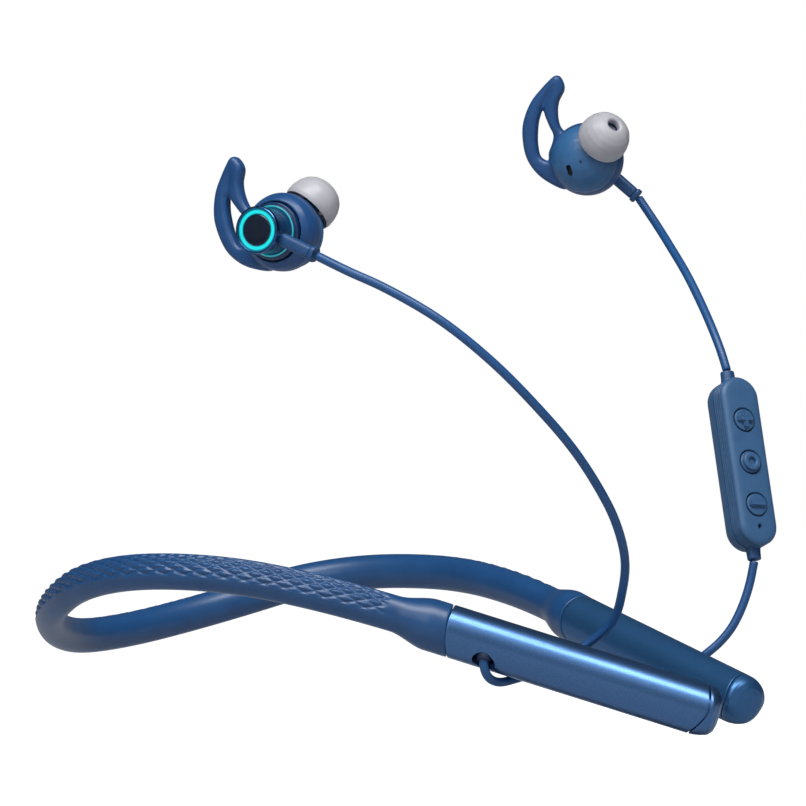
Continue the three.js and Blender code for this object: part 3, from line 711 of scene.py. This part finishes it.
for side, spec in ARMS.items():
    A, length, o = arm_frame(spec)
    body = side + "_arm"
    # the near (right) arm takes the lighter paint copy as painted light, the far (left) arm the darker copy as
    # painted shade
    paint = M["arm_near"] if side == "right" else M["arm_far"]
    # shell: eased rims, and rings along it so that the paint shades evenly
    H = ARM_H
    ring_z = np.concatenate([np.linspace(1.2, 7.2, 9), np.linspace(9, length - 8, 22), np.linspace(length - 6.6, length - 1.2, 9)])
    outer = fillet([(H - 1.2, 0.15), (H, 0.15), (H, 1.2)], 0.28, 5)
    far = fillet([(H, length - 1.2), (H, length - 0.15), (H - 1.2, length - 0.15)], 0.24, 5)
    profile = outer + [(H, z) for z in ring_z[1:-1]] + far
    profile = profile + [(H - 1.2, length - 0.15), (H - 1.2, 0.15)]
    v, f = oval_tube(profile)
    v[:, 2] += seam_shift(v[:, 0] / ARM_T, v[:, 1] / ARM_H, np.abs(v[:, 2])) + cap_shift(v[:, 0] / ARM_T, v[:, 1] / ARM_H, length - v[:, 2])
    shell = build("shell", v, f)
    g_dir = unit((o * GLAND_DIR[0], GLAND_DIR[1], GLAND_DIR[2]))
    G = turn_to(g_dir)
    G[:3, 3] = (o * GLAND_POS[0], GLAND_POS[1], GLAND_POS[2])
    cv, cf = lathe_data([(0, -3.4), (1.98, -3.4), (1.98, 5.0), (0, 5.0)], 56)
    well = place(cv, G) + np.array([-o * 0.2, -0.15, 0])
    well[:, 2] = G[2, 3] + (well[:, 2] - G[2, 3]) * 1.4
    cutters = [build("well", well, cf)]
    if side == "left":
        t0 = 46.0
        def slab_mesh(x0, x1, y, z):
            bm = bmesh.new()
            bmesh.ops.create_cube(bm, size=1)
            for q in bm.verts:
                q.co = Vector(((x0 + x1) / 2 * o + q.co.x * abs(x1 - x0), q.co.y * 2 * y, t0 + q.co.z * 2 * z)) * MM
            bmesh.ops.bevel(bm, geom=[e for e in bm.edges if abs(e.verts[0].co.x - e.verts[1].co.x) > 1e-6], offset=1.1 * MM, segments=5, affect="EDGES")
            me = bpy.data.meshes.new("slab")
            bm.to_mesh(me)
            bm.free()
            return me
        cutters += [slab_mesh(5.15, 9, 2.4, 5.95), slab_mesh(2.5, 9, 1.6, 4.15)]
    shell = boolean(shell, cutters)
    transformed(shell, A)
    tube = add_object(side + "_arm_shell", shell, paint, body, sharp=28)
    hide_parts(side + "_arm_tube")

    # cap: a dome with a shadow gap behind it and an eased rim
    prof = [(0, -3.0), (4.6, -3.0), (4.6, -0.5), (4.6, 0.16)] + fillet([(4.6, 0.16), (6.1, 0.16), (6.05, 0.9), (5.75, 2.0), (5.1, 3.0), (4.0, 3.8), (2.4, 4.2), (0, 4.3)], [0, 0.2, 1.0, 1.5, 1.5, 1.5, 1.2, 0], 5)[1:]
    v, f = oval_tube(prof, 112)
    v[:, 2] += cap_shift(v[:, 0] / ARM_T, v[:, 1] / ARM_H, np.maximum(v[:, 2] - 0.2, 0) * 1.3) * smooth((4.35 - v[:, 2]) / 2.4)
    Cm = A.copy()
    Cm[:3, 3] = spec["tip"]
    cap = add_object(side + "_arm_end", build("cap", place(v, Cm), f), paint, body, sharp=40)
    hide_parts(side + "_arm_cap")

    # rubber bush in the well, its mouth flared round the cord
    gp = fillet([(1.2, -2.6), (1.72, -2.6), (1.72, -0.9), (1.6, -0.35), (1.3, -0.15), (1.12, -0.5), (1.2, -2.6)], [0, 0.1, 0.3, 0.3, 0.2, 0.3, 0], 4)
    bush = lathe(side + "_gland_bush", gp, A @ G, M["rubber_dark"], body, 40)
    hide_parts(side + "_cord_gland")


# ------------------------------------------------------------------ cords
def make_cord(name, node, points, body, exit_point, with_pieces=()):
    line = Line(points, 1.2)
    o, path = tube_piece(name, line, CORD_R, 0, line.length, 0.7, 20, M["cord"], ends=0.12)
    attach(o, body)
    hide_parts(node)
    return o, line, path


for name, node, pts, body in (
    ("cord_right", "right_cord", RIGHT_CORD, "right_arm"),
    ("cord_left_lower", "left_lower_cord", LEFT_LOWER_CORD, "left_arm"),
    ("cord_left_upper", "left_upper_cord", LEFT_UPPER_CORD, "left_arm"),
):
    make_cord(name, node, pts, body, pts[0])


# ------------------------------------------------------------------ remote
low, high = np.array(REMOTE_LOW), np.array(REMOTE_HIGH)
rz = unit(high - low)
ry = np.array(REMOTE_FACING, float)
ry = unit(ry - rz * (ry @ rz))
rx = np.cross(ry, rz)
R = frame_matrix((low + high) / 2, rx, ry, rz)
SPAN = np.linalg.norm(high - low)


def stadium(w, l, n=24):
    """Points round a stadium in X,Z, evenly by angle on the ends; always the same count."""
    pts = []
    for cz, a0 in ((l / 2 - w / 2, 0), (-(l / 2 - w / 2), math.pi)):
        for k in range(n + 1):
            a = a0 + math.pi * k / n
            pts.append((w / 2 * math.cos(a), cz + w / 2 * math.sin(a)))
    # subdivide the straight sides
    out = []
    for i, p in enumerate(pts):
        q = pts[(i + 1) % len(pts)]
        out.append(p)
        d = math.dist(p, q)
        if d > 3:
            m = 22
            out += [(p[0] + (q[0] - p[0]) * k / m, p[1] + (q[1] - p[1]) * k / m) for k in range(1, m)]
    return out


def remote_half(sign):
    """Front (+1) or back (-1) shell, as layers from the parting line outwards and back down inside."""
    D = REMOTE_D / 2
    if sign > 0:
        # inset from the outline, height; three ribs run round the flank, then the crowned face
        prof = [(0.06, 0.15), (0.0, 0.22)]
        for y in (0.45, 1.28, 2.11, 2.94):
            prof += [(0.0, y), (0.30, y + 0.13), (0.30, y + 0.25), (0.0, y + 0.38), (0.0, y + 0.6)]
        prof += [(0.08, 3.75), (0.3, 4.1), (0.7, 4.38), (1.3, 4.52), (2.1, 4.57), (3.2, 4.59)]
    else:
        prof = [(0.0, 0.15), (0.0, 1.6), (0.08, 2.4), (0.4, 3.2), (1.0, 3.95), (1.9, 4.4), (3.2, 4.57)]
    W, L = REMOTE_W, REMOTE_L
    rings = []
    for inset, y in prof:
        rings.append([(x, sign * y, z) for x, z in stadium(W - 2 * inset, L - 2 * inset)])
    m = len(rings[0])
    verts = [p for r in rings for p in r]
    faces = []
    for i in range(len(rings) - 1):
        for j in range(m):
            k = (j + 1) % m
            faces.append((i * m + j, i * m + k, (i + 1) * m + k, (i + 1) * m + j))
    # crowned face
    last = (len(rings) - 1) * m
    inner = [(x * 0.5, sign * 4.6, z * 0.93) for x, z in stadium(W - 6.4, L - 6.4)]
    base = len(verts)
    verts += inner
    for j in range(m):
        k = (j + 1) % m
        faces.append((last + j, last + k, base + k, base + j))
    faces.append(tuple(base + j for j in range(m)))
    # inside
    wall = 1.2
    roof = 3.4
    r1 = len(verts)
    verts += [(x, sign * 0.15, z) for x, z in stadium(W - 2 * wall, L - 2 * wall)]
    r2 = len(verts)
    verts += [(x, sign * roof, z) for x, z in stadium(W - 2 * wall, L - 2 * wall)]
    for j in range(m):
        k = (j + 1) % m
        faces.append((j, k, r1 + k, r1 + j))
        faces.append((r1 + j, r1 + k, r2 + k, r2 + j))
    faces.append(tuple(r2 + j for j in range(m)))
    return np.array(verts, float), faces


def upright_lathe(profile, z, seg=48, x=0.0):
    """Turned about the remote's +Y, at height z along it."""
    v, f = lathe_data(profile, seg)
    return np.c_[v[:, 0] + x, v[:, 2], -v[:, 1] + z], f


v, f = remote_half(1)
front_mesh = build("remote_front", v, f)
places = {"plus": BUTTON_PITCH + BUTTON_SHIFT, "play": BUTTON_SHIFT, "minus": -BUTTON_PITCH + BUTTON_SHIFT}
mic_z = -BUTTON_PITCH - 5.4 + BUTTON_SHIFT
cut = []
for z in places.values():
    cv, cf = upright_lathe([(0, 2.0), (3.0, 2.0), (3.0, 4.3), (3.3, 4.75), (3.3, 6), (0, 6)], z, 56)
    cut.append(build("hole", cv, cf))
cv, cf = upright_lathe([(0, 2.0), (0.5, 2.0), (0.5, 4.3), (0.75, 4.75), (0.75, 6), (0, 6)], mic_z, 24)
cut.append(build("hole", cv, cf))
front_mesh = boolean(front_mesh, cut)
transformed(front_mesh, R)
front = add_object("remote_front", front_mesh, M["remote"], "left_arm", sharp=30)
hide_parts("remote_front_shell")
v, f = remote_half(-1)
rear = add_object("remote_back", build("remote_back", place(v, R), f), M["remote"], "left_arm", sharp=30)
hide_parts("remote_back_shell")


def bar(x0, x1, z0, z1, y0, y1, r):
    """Rounded bar standing on the button, as a mesh in metres in the remote's frame."""
    bm = bmesh.new()
    bmesh.ops.create_cube(bm, size=1)
    for q in bm.verts:
        q.co = Vector(((x0 + x1) / 2 + q.co.x * (x1 - x0), (y0 + y1) / 2 + q.co.y * (y1 - y0), (z0 + z1) / 2 + q.co.z * (z1 - z0))) * MM
    bmesh.ops.bevel(bm, geom=list(bm.edges), offset=r * MM, segments=4, affect="EDGES")
    me = bpy.data.meshes.new("bar")
    bm.to_mesh(me)
    bm.free()
    return me


for name, z in places.items():
    top = REMOTE_D / 2 + 0.08
    v, f = upright_lathe(fillet([(0, 2.05), (BUTTON_R, 2.05), (BUTTON_R, top), (0, top + 0.05)], [0, 0.1, 0.3, 0], 5), z, 56)
    me = build("button", v, f)
    y0, y1 = top - 0.4, REMOTE_D / 2 + 0.95
    if name == "plus":
        me = boolean(me, [bar(-0.62, 0.62, z - 2.15, z + 2.15, y0, y1, 0.3), bar(-2.15, 2.15, z - 0.62, z + 0.62, y0, y1, 0.3)], "UNION")
    elif name == "minus":
        me = boolean(me, [bar(-2.2, 2.2, z - 0.68, z + 0.68, y0, y1, 0.32)], "UNION")
    else:
        rv, rf = upright_lathe(fillet([(1.0, y0), (2.25, y0), (2.25, y1 - 0.05), (1.0, y1 - 0.05), (1.0, y0)], [0, 0, 0.4, 0.4, 0], 5), z, 56)
        me = boolean(me, [build("ring", rv, rf)], "UNION")
    transformed(me, R)
    b = add_object("remote_button_" + name, me, M["remote"], name + "_button", sharp=30)
    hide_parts("button_" + name)

BOOT_LEN = (SPAN - REMOTE_L) / 2
for end, s in (("upper", 1), ("lower", -1)):
    a, b = REMOTE_L / 2 - 0.35, SPAN / 2
    prof = fillet([(0, a), (1.95, a), (1.8, a + 1.0), (1.72, b - 0.05), (1.2, b - 0.02), (0, b - 0.02)], [0, 0, 0.2, 0.25, 0, 0], 4)
    prof = [(r, z) for r, z in prof]
    v, f = lathe_data(prof, 48)
    v[:, 1] *= 0.86
    if s < 0:
        v = v * np.array([1, -1, -1])
    add_object(f"remote_boot_{end}", build("boot", place(v, R), f), M["boot"], "left_arm", sharp=36)
    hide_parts(f"remote_{end}_boot")


# ------------------------------------------------------------------ ear buds
WING = [(-3, -8.7), (-7.5, -8.3), (-11.2, -6.9), (-14.5, -4.2), (-16.8, -0.1), (-17.9, 4), (-17.5, 9.4), (-15.95, 13.3), (-14.5, 16.1),
        (-13.55, 17.4), (-12.5, 17.6), (-11.1, 16.4), (-10.35, 14.7), (-10.8, 11.5), (-10.3, 8.8), (-8.9, 6.0), (-6.6, 4.0), (-6.8, 0.6), (-6.6, -3), (-4.6, -6.2), (-2.6, -7.6)]
WING_HOLE = [(-14.05, 8.3), (-12.8, 6.8), (-11.3, 5.0), (-9.7, 3.2), (-9.45, 1.2), (-9.6, -1.2), (-9.2, -3.1), (-11.2, -2.8), (-12.8, -0.2), (-13.8, 3), (-14.3, 6)]


def bud(side, spec):
    z = unit(spec["out"])
    y = np.array(spec["up"], float)
    y = unit(y - z * (y @ z))
    x = np.cross(y, z)
    B = frame_matrix(spec["at"], x, y, z)
    f = spec["f"]
    body = side + "_bud"
    n = unit((f * NOZZLE_DIR[0], NOZZLE_DIR[1], NOZZLE_DIR[2]))
    N = B @ turn_to(n)
    pre = side + "_"

    def rides(o, slot_name, *nodes):
        if nodes:
            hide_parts(*nodes)
        return o

    # outer shell: stem, a groove for the thin light, a stepped flange
    prof = fillet([(0, 11.95), (4.9, 11.95), (5.15, 11.7), (5.0, 9.6), (5.12, 7.6), (5.5, 6.75), (5.5, 6.2), (4.2, 6.2), (4.2, 10.9), (0, 10.9)],
                  [0, 0.2, 0.3, 2.5, 1.2, 0.3, 0.1, 0.3, 0.2, 0], 5)
    rides(lathe(pre + "stem", prof, B, M["stem"], body, 96), "bud_plastic", pre + "bud_outer_shell")
    prof = fillet([(5.55, 6.72), (5.95, 6.72), (6.05, 6.45), (6.55, 6.4), (6.68, 5.9), (6.68, -0.2), (5.5, -0.2), (5.5, 6.1), (5.55, 6.72)],
                  [0, 0.08, 0.08, 0.25, 0.25, 0.2, 0.2, 0.3, 0], 4)
    rides(lathe(pre + "outer_shell", prof, B, M["stem"], body, 96), "bud_plastic", pre + "bud_outer_shell")

    # inner shell: a dome with its nozzle grown out of it
    dome = fillet([(0, -7.72), (2.6, -7.5), (4.9, -6.65), (6.9, -5.1), (8.05, -3.35), (8.42, -1.95), (6.6, -1.9), (6.6, -0.45), (5.5, -0.45), (5.5, -2.6), (4.6, -4.4), (2.9, -5.8), (0, -6.4)],
                  [0, 3, 3, 3, 2, 0.25, 0.1, 0.1, 0.1, 1, 1, 1, 0], 4)
    dv, df = lathe_data(dome, 72)
    nv, nf = lathe_data([(0, 5.6), (2.75, 5.6), (2.5, 8.2), (2.3, 9.0), (2.3, 12.5), (2.15, 12.8), (0, 12.8)], 40)
    inner = boolean(build("dome", dv, df), [build("nozzle", place(nv, turn_to(n)), nf)], "UNION")
    bv, bf = lathe_data([(0, 4.6), (1.55, 4.6), (1.55, 16), (0, 16)], 32)
    inner = boolean(inner, [build("bore", place(bv, turn_to(n)), bf)])
    inner = soften(inner, 0.17, 7)
    # slanted vent, cut after the softening
    vm = outline_slab([(0.62 * math.cos(t) * 1.0, (0.78 if math.sin(t) > 0 else -0.78) + 0.62 * math.sin(t)) for t in np.linspace(0, 2 * math.pi, 16, endpoint=False)], [], 6, 0.05, -10, 1, 4)
    vent_m = frame_matrix((-f * 1.9, -3.4, 0), *np.array([[math.cos(f * 0.6), math.sin(f * 0.6), 0], [-math.sin(f * 0.6), math.cos(f * 0.6), 0], [0, 0, 1]]))
    transformed(vm, vent_m)
    inner = boolean(inner, [vm])
    transformed(inner, B)
    rides(add_object(pre + "inner_shell", inner, M["bud"], body, sharp=48), "bud_plastic", pre + "bud_inner_shell")
    # damping mesh just inside the vent
    vv, vf = lathe_data([(0, -5.3), (1.5, -5.3), (1.5, -5.1), (0, -5.1)], 24)
    vv = vv + np.array([-f * 1.9, -3.4, 0])
    rides(add_object(pre + "vent_screen", build("screen", place(vv, B), vf), M["black"], body), "cable_black")
    if side == "left":
        # a plain raised dot tells this side by touch
        for k, (cx, cy, w, h) in enumerate(((0.0, 0.0, 0.6, 0.6),)):
            bm = bmesh.new()
            bmesh.ops.create_cube(bm, size=1)
            for q in bm.verts:
                q.co = Vector((q.co.x * w + cx, q.co.y * h + cy, q.co.z * 0.3))
            bmesh.ops.bevel(bm, geom=list(bm.edges), offset=0.14, segments=4, affect="EDGES")
            mk = bpy.data.meshes.new("mark")
            bm.to_mesh(mk)
            bm.free()
            mk.transform(Matrix.Scale(MM, 4))
            d = unit((-0.29, -0.52, -7.5))
            Q = turn_to(d)
            # sits on the dome's surface, upright
            zz = d
            yy = unit(np.array([0.0, 1.0, 0.0]) - zz * zz[1])
            xx = np.cross(yy, zz)
            L = frame_matrix(d * 7.72, xx, yy, zz)
            transformed(mk, B @ L)
            rides(add_object(f"{pre}side_mark_{k}", mk, M["rubber_dark"], body), "bud_plastic")

    # nozzle screen and tip
    rides(lathe(pre + "nozzle_screen", [(0, 12.55), (1.5, 12.55), (1.5, 12.8), (0, 12.86)], N, M["mesh"], body, 32), "grille", pre + "nozzle_mesh")
    tip = fillet([(2.45, 9.0), (3.4, 9.0), (3.45, 11.7), (3.9, 12.6), (4.9, 11.7), (5.6, 9.7), (5.75, 7.6), (6.05, 7.35), (6.32, 8.4), (6.26, 10.0), (5.87, 11.7), (5.1, 13.2), (4.0, 14.3), (2.9, 14.9), (2.0, 15.1), (1.6, 14.75), (1.55, 13.4), (2.45, 13.15), (2.45, 9.0)],
                 [0, 0.2, 0.5, 0.6, 1, 1, 0.2, 0.4, 1, 2, 2, 2, 2, 2, 0.4, 0.3, 0.3, 0.2, 0], 4)
    rides(lathe(pre + "tip", tip, N, M["tip"], body, 80, sharp=50), "tip_silicone", pre + "ear_tip")

    # wing: the sleeve ring and the hooked fin in one soft moulding
    ring_p = fillet([(6.9, -1.6), (8.3, -1.6), (9.0, 0.2), (9.02, 2.4), (8.4, 4.3), (7.5, 5.35), (6.9, 5.6), (6.9, -1.6)], [0, 0.3, 1.5, 1.5, 1, 0.6, 0, 0], 4)
    rv, rf = lathe_data(ring_p, 96)
    fin = outline_slab([(f * a, b) for a, b in WING], [[(f * a, b) for a, b in WING_HOLE]], 3.5, 1.25, -0.55)
    wing = soften(joined(build("ring", rv, rf), fin), 0.2, 9)
    # the fin leans in a little towards the ear as it climbs, and creases where the strut meets the outer strip
    co = np.zeros(len(wing.vertices) * 3)
    wing.vertices.foreach_get("co", co)
    co = co.reshape(-1, 3)
    q = co * 1000
    crease_a, crease_b = np.array([-14.2 * f, 8.6]), np.array([-13.3 * f, 15.6])
    ab = crease_b - crease_a
    t = np.clip(((q[:, :2] - crease_a) @ ab) / (ab @ ab), 0, 1)
    dist = np.linalg.norm(q[:, :2] - (crease_a + t[:, None] * ab), axis=1)
    pinch = 0.5 * np.exp(-(dist / 0.75) ** 2) * smooth((1.0 - t) * 1.6)
    # the fin creases where the strut meets the outer strip
    mid = 1.2
    q[:, 2] -= np.sign(q[:, 2] - mid) * np.minimum(pinch, np.abs(q[:, 2] - mid)) * smooth((-f * q[:, 0] - 9.5) / 2)
    co = q / 1000
    wing.vertices.foreach_set("co", co.astype(np.float32).ravel())
    transformed(wing, B)
    rides(add_object(pre + "wing", wing, M["wing"], body, sharp=60), "silicone", pre + "ear_wing")

    # lit face
    rides(lathe(pre + "bezel", fillet([(4.83, 12.12), (5.42, 12.12), (5.5, 12.9), (5.42, 13.55), (5.24, 13.72), (4.98, 13.72), (4.83, 13.45), (4.83, 12.12)], [0, 0.1, 0.3, 0.1, 0.1, 0.1, 0.1, 0], 4), B, M["chrome"], body, 96), "bezel_chrome", pre + "light_bezel")
    for tag, r0, r1, mat in (("halo_inner", 3.62, 3.82, M["light_edge"]), ("halo", 3.82, 4.52, M["light"]), ("halo_outer", 4.52, 4.8, M["light_edge"])):
        rides(lathe(pre + tag, fillet([(r0, 12.3), (r1, 12.3), (r1, 13.38), (r0, 13.38), (r0, 12.3)], [0, 0, 0.04, 0.04, 0], 3), B, mat, body, 96), "light_ring", pre + "light_ring")
    rides(lathe(pre + "face", fillet([(0, 12.3), (3.58, 12.3), (3.58, 13.36), (3.4, 13.5), (1.8, 13.56), (0, 13.58)], [0, 0, 0.12, 0.2, 0, 0], 4), B, M["gloss"], body, 80), "face_gloss", pre + "face_disc")
    rides(lathe(pre + "base_halo", fillet([(5.5, 6.78), (5.9, 6.78), (5.92, 7.0), (5.62, 7.12), (5.5, 6.78)], [0, 0.08, 0.08, 0.08, 0], 3), B, M["light_soft"], body, 96), "light_ring", pre + "base_light_ring")

    # boot: a soft bar out of the stem's side, with a collar at the cord's end
    a = math.radians(-24)
    d = np.array([f * math.cos(a), math.sin(a), 0])
    side_v = np.array([-d[1], d[0], 0])
    L = frame_matrix((0, 0, 9.8), side_v, (0, 0, 1.0), d)
    if np.linalg.det(L[:3, :3]) < 0:
        L[:3, 0] *= -1
    st = [(4.9, 1.35), (5.6, 1.5), (6.4, 1.53), (9.0, 1.52), (12.6, 1.5), (13.1, 1.46), (13.25, 1.3), (13.4, 1.72), (13.55, 1.8), (14.25, 1.8), (14.45, 1.68), (14.5, 1.4)]
    rows = []
    m = 40
    for t_, h in st:
        ang = np.linspace(0, 2 * math.pi, m, endpoint=False)
        p = 3.2
        cx = np.sign(np.cos(ang)) * np.abs(np.cos(ang)) ** (2 / p) * h
        cy = np.sign(np.sin(ang)) * np.abs(np.sin(ang)) ** (2 / p) * h
        rows.append(np.c_[cx, cy, np.full(m, t_)])
    v, fc = grid_tube(np.array(rows))
    return rides(add_object(pre + "boot", build("boot", place(v, B @ L), fc), M["boot"], body, sharp=38), "boot_rubber", pre + "bud_boot")


bud_boots = {s: bud(s, spec) for s, spec in BUDS.items()}


# ------------------------------------------------------------------ carried-over CAD pieces, inside
LOOK = {
    "battery_cell": "foil", "battery_protection_board": "board", "main_board": "board", "radio_module": "foil", "charge_port": "steel",
    "charge_port_cover": "wing", "remote_board": "board", "switch_plus": "steel", "switch_play": "steel", "switch_minus": "steel",
    "remote_microphone": "foil",
}
for s in ("right", "left"):
    LOOK[s + "_light_board"], LOOK[s + "_bud_magnet"], LOOK[s + "_driver"] = "board", "steel", "foil"
for node, look in LOOK.items():
    me = NODES[node].data
    me.materials.clear()
    me.materials.append(M[look])

# ------------------------------------------------------------------ floor, light
FLOOR = -0.0268
bm = bmesh.new()
bmesh.ops.create_grid(bm, x_segments=24, y_segments=24, size=14)
fm = bpy.data.meshes.new("floor")
bm.to_mesh(fm)
bm.free()
floor = bpy.data.objects.new("floor", fm)
floor.location = (0, 0, FLOOR)
bpy.context.scene.collection.objects.link(floor)
fn = Nodes("floor_paper")
grain = fn.noise(60, 3, 0.5)
fn.set(Base_Color=fn.mix(fn.span(grain, 0, 1), srgb(182, 183, 186), srgb(190, 191, 194)), Roughness=0.9, Specular_IOR_Level=0.1,
       Emission_Color=(1, 1, 1, 1))
seen = fn.t.nodes.new("ShaderNodeLightPath")
glow = fn.t.nodes.new("ShaderNodeMapRange")
glow.inputs["To Min"].default_value, glow.inputs["To Max"].default_value = 0.0, 0.9
fn.link(seen.outputs["Is Camera Ray"], glow.inputs["Value"])
fn.link(glow.outputs["Result"], fn.bsdf.inputs["Emission Strength"])
fm.materials.append(fn.mat)

world = bpy.data.worlds.new("studio")
bpy.context.scene.world = world
world.use_nodes = True
wt = world.node_tree
wt.nodes.clear()
out = wt.nodes.new("ShaderNodeOutputWorld")
mix = wt.nodes.new("ShaderNodeMixShader")
lp = wt.nodes.new("ShaderNodeLightPath")
white = wt.nodes.new("ShaderNodeBackground")
white.inputs["Color"].default_value = (1, 1, 1, 1)
white.inputs["Strength"].default_value = 1.0
room = wt.nodes.new("ShaderNodeBackground")
co = wt.nodes.new("ShaderNodeTexCoord")


def world_node(kind, **props):
    n = wt.nodes.new(kind)
    for k, v in props.items():
        setattr(n, k, v)
    return n


def toward(direction, lo, hi, a, b):
    """Brightness by how far a direction points along another one."""
    d = world_node("ShaderNodeVectorMath", operation="DOT_PRODUCT")
    d.inputs[1].default_value = Vector(direction).normalized()
    wt.links.new(co.outputs["Generated"], d.inputs[0])
    m = world_node("ShaderNodeMapRange", interpolation_type="SMOOTHSTEP")
    for k, v in (("From Min", a), ("From Max", b), ("To Min", lo), ("To Max", hi)):
        m.inputs[k].default_value = v
    wt.links.new(d.outputs["Value"], m.inputs["Value"])
    return m.outputs["Result"]


level = Vector((back.x, back.y, 0)).normalized()
parts = [
    toward(level * 0.5 + Vector((0, 0, 0.86)), 0.0, 1.0, 0.74, 0.97),   # broad softbox above, towards the camera
    toward(level * 0.8 - right_v * 0.75 + Vector((0, 0, 0.15)), 0.0, 0.14, 0.55, 0.98),  # weak fill from the left
    toward(level * 0.9 + right_v * 0.6 + Vector((0, 0, 0.1)), 0.0, 0.24, 0.6, 0.98),  # fill from the right
    toward(level, 0.03, 0.11, -0.3, 0.8),  # dark room behind, dim room in front
]
total = parts[0]
for p in parts[1:]:
    add = world_node("ShaderNodeMath", operation="ADD")
    wt.links.new(total, add.inputs[0])
    wt.links.new(p, add.inputs[1])
    total = add.outputs[0]
room.inputs["Color"].default_value = (0.93, 0.97, 1.0, 1)
wt.links.new(total, room.inputs["Strength"])
wt.links.new(lp.outputs["Is Camera Ray"], mix.inputs["Fac"])
wt.links.new(room.outputs[0], mix.inputs[1])
wt.links.new(white.outputs[0], mix.inputs[2])
wt.links.new(mix.outputs[0], out.inputs["Surface"])


def area(name, loc, aim, size, power, colour=(1, 1, 1), size_y=None):
    d = bpy.data.lights.new(name, "AREA")
    d.shape = "RECTANGLE"
    d.size, d.size_y = size, size_y or size
    d.energy, d.color = power, colour
    o = bpy.data.objects.new(name, d)
    bpy.context.scene.collection.objects.link(o)
    o.location = loc
    o.rotation_mode = "QUATERNION"
    o.rotation_quaternion = (Vector(aim) - Vector(loc)).to_track_quat("-Z", "Y")
    return o


centre = Vector((0, -0.09, 0.03))
rv, uv_, bk = right_v, Vector((0, 0, 1)), Vector((back.x, back.y, 0)).normalized()
area("key_above", centre + uv_ * 0.82 + bk * 0.46 - rv * 0.05, centre, 0.95, 7.6, size_y=0.36)
area("front_soft", centre + bk * 1.0 + uv_ * 0.45 - rv * 0.45, centre, 0.5, 1.2)

bpy.context.scene.view_settings.view_transform = "Standard"
bpy.context.scene.view_settings.look = "None"
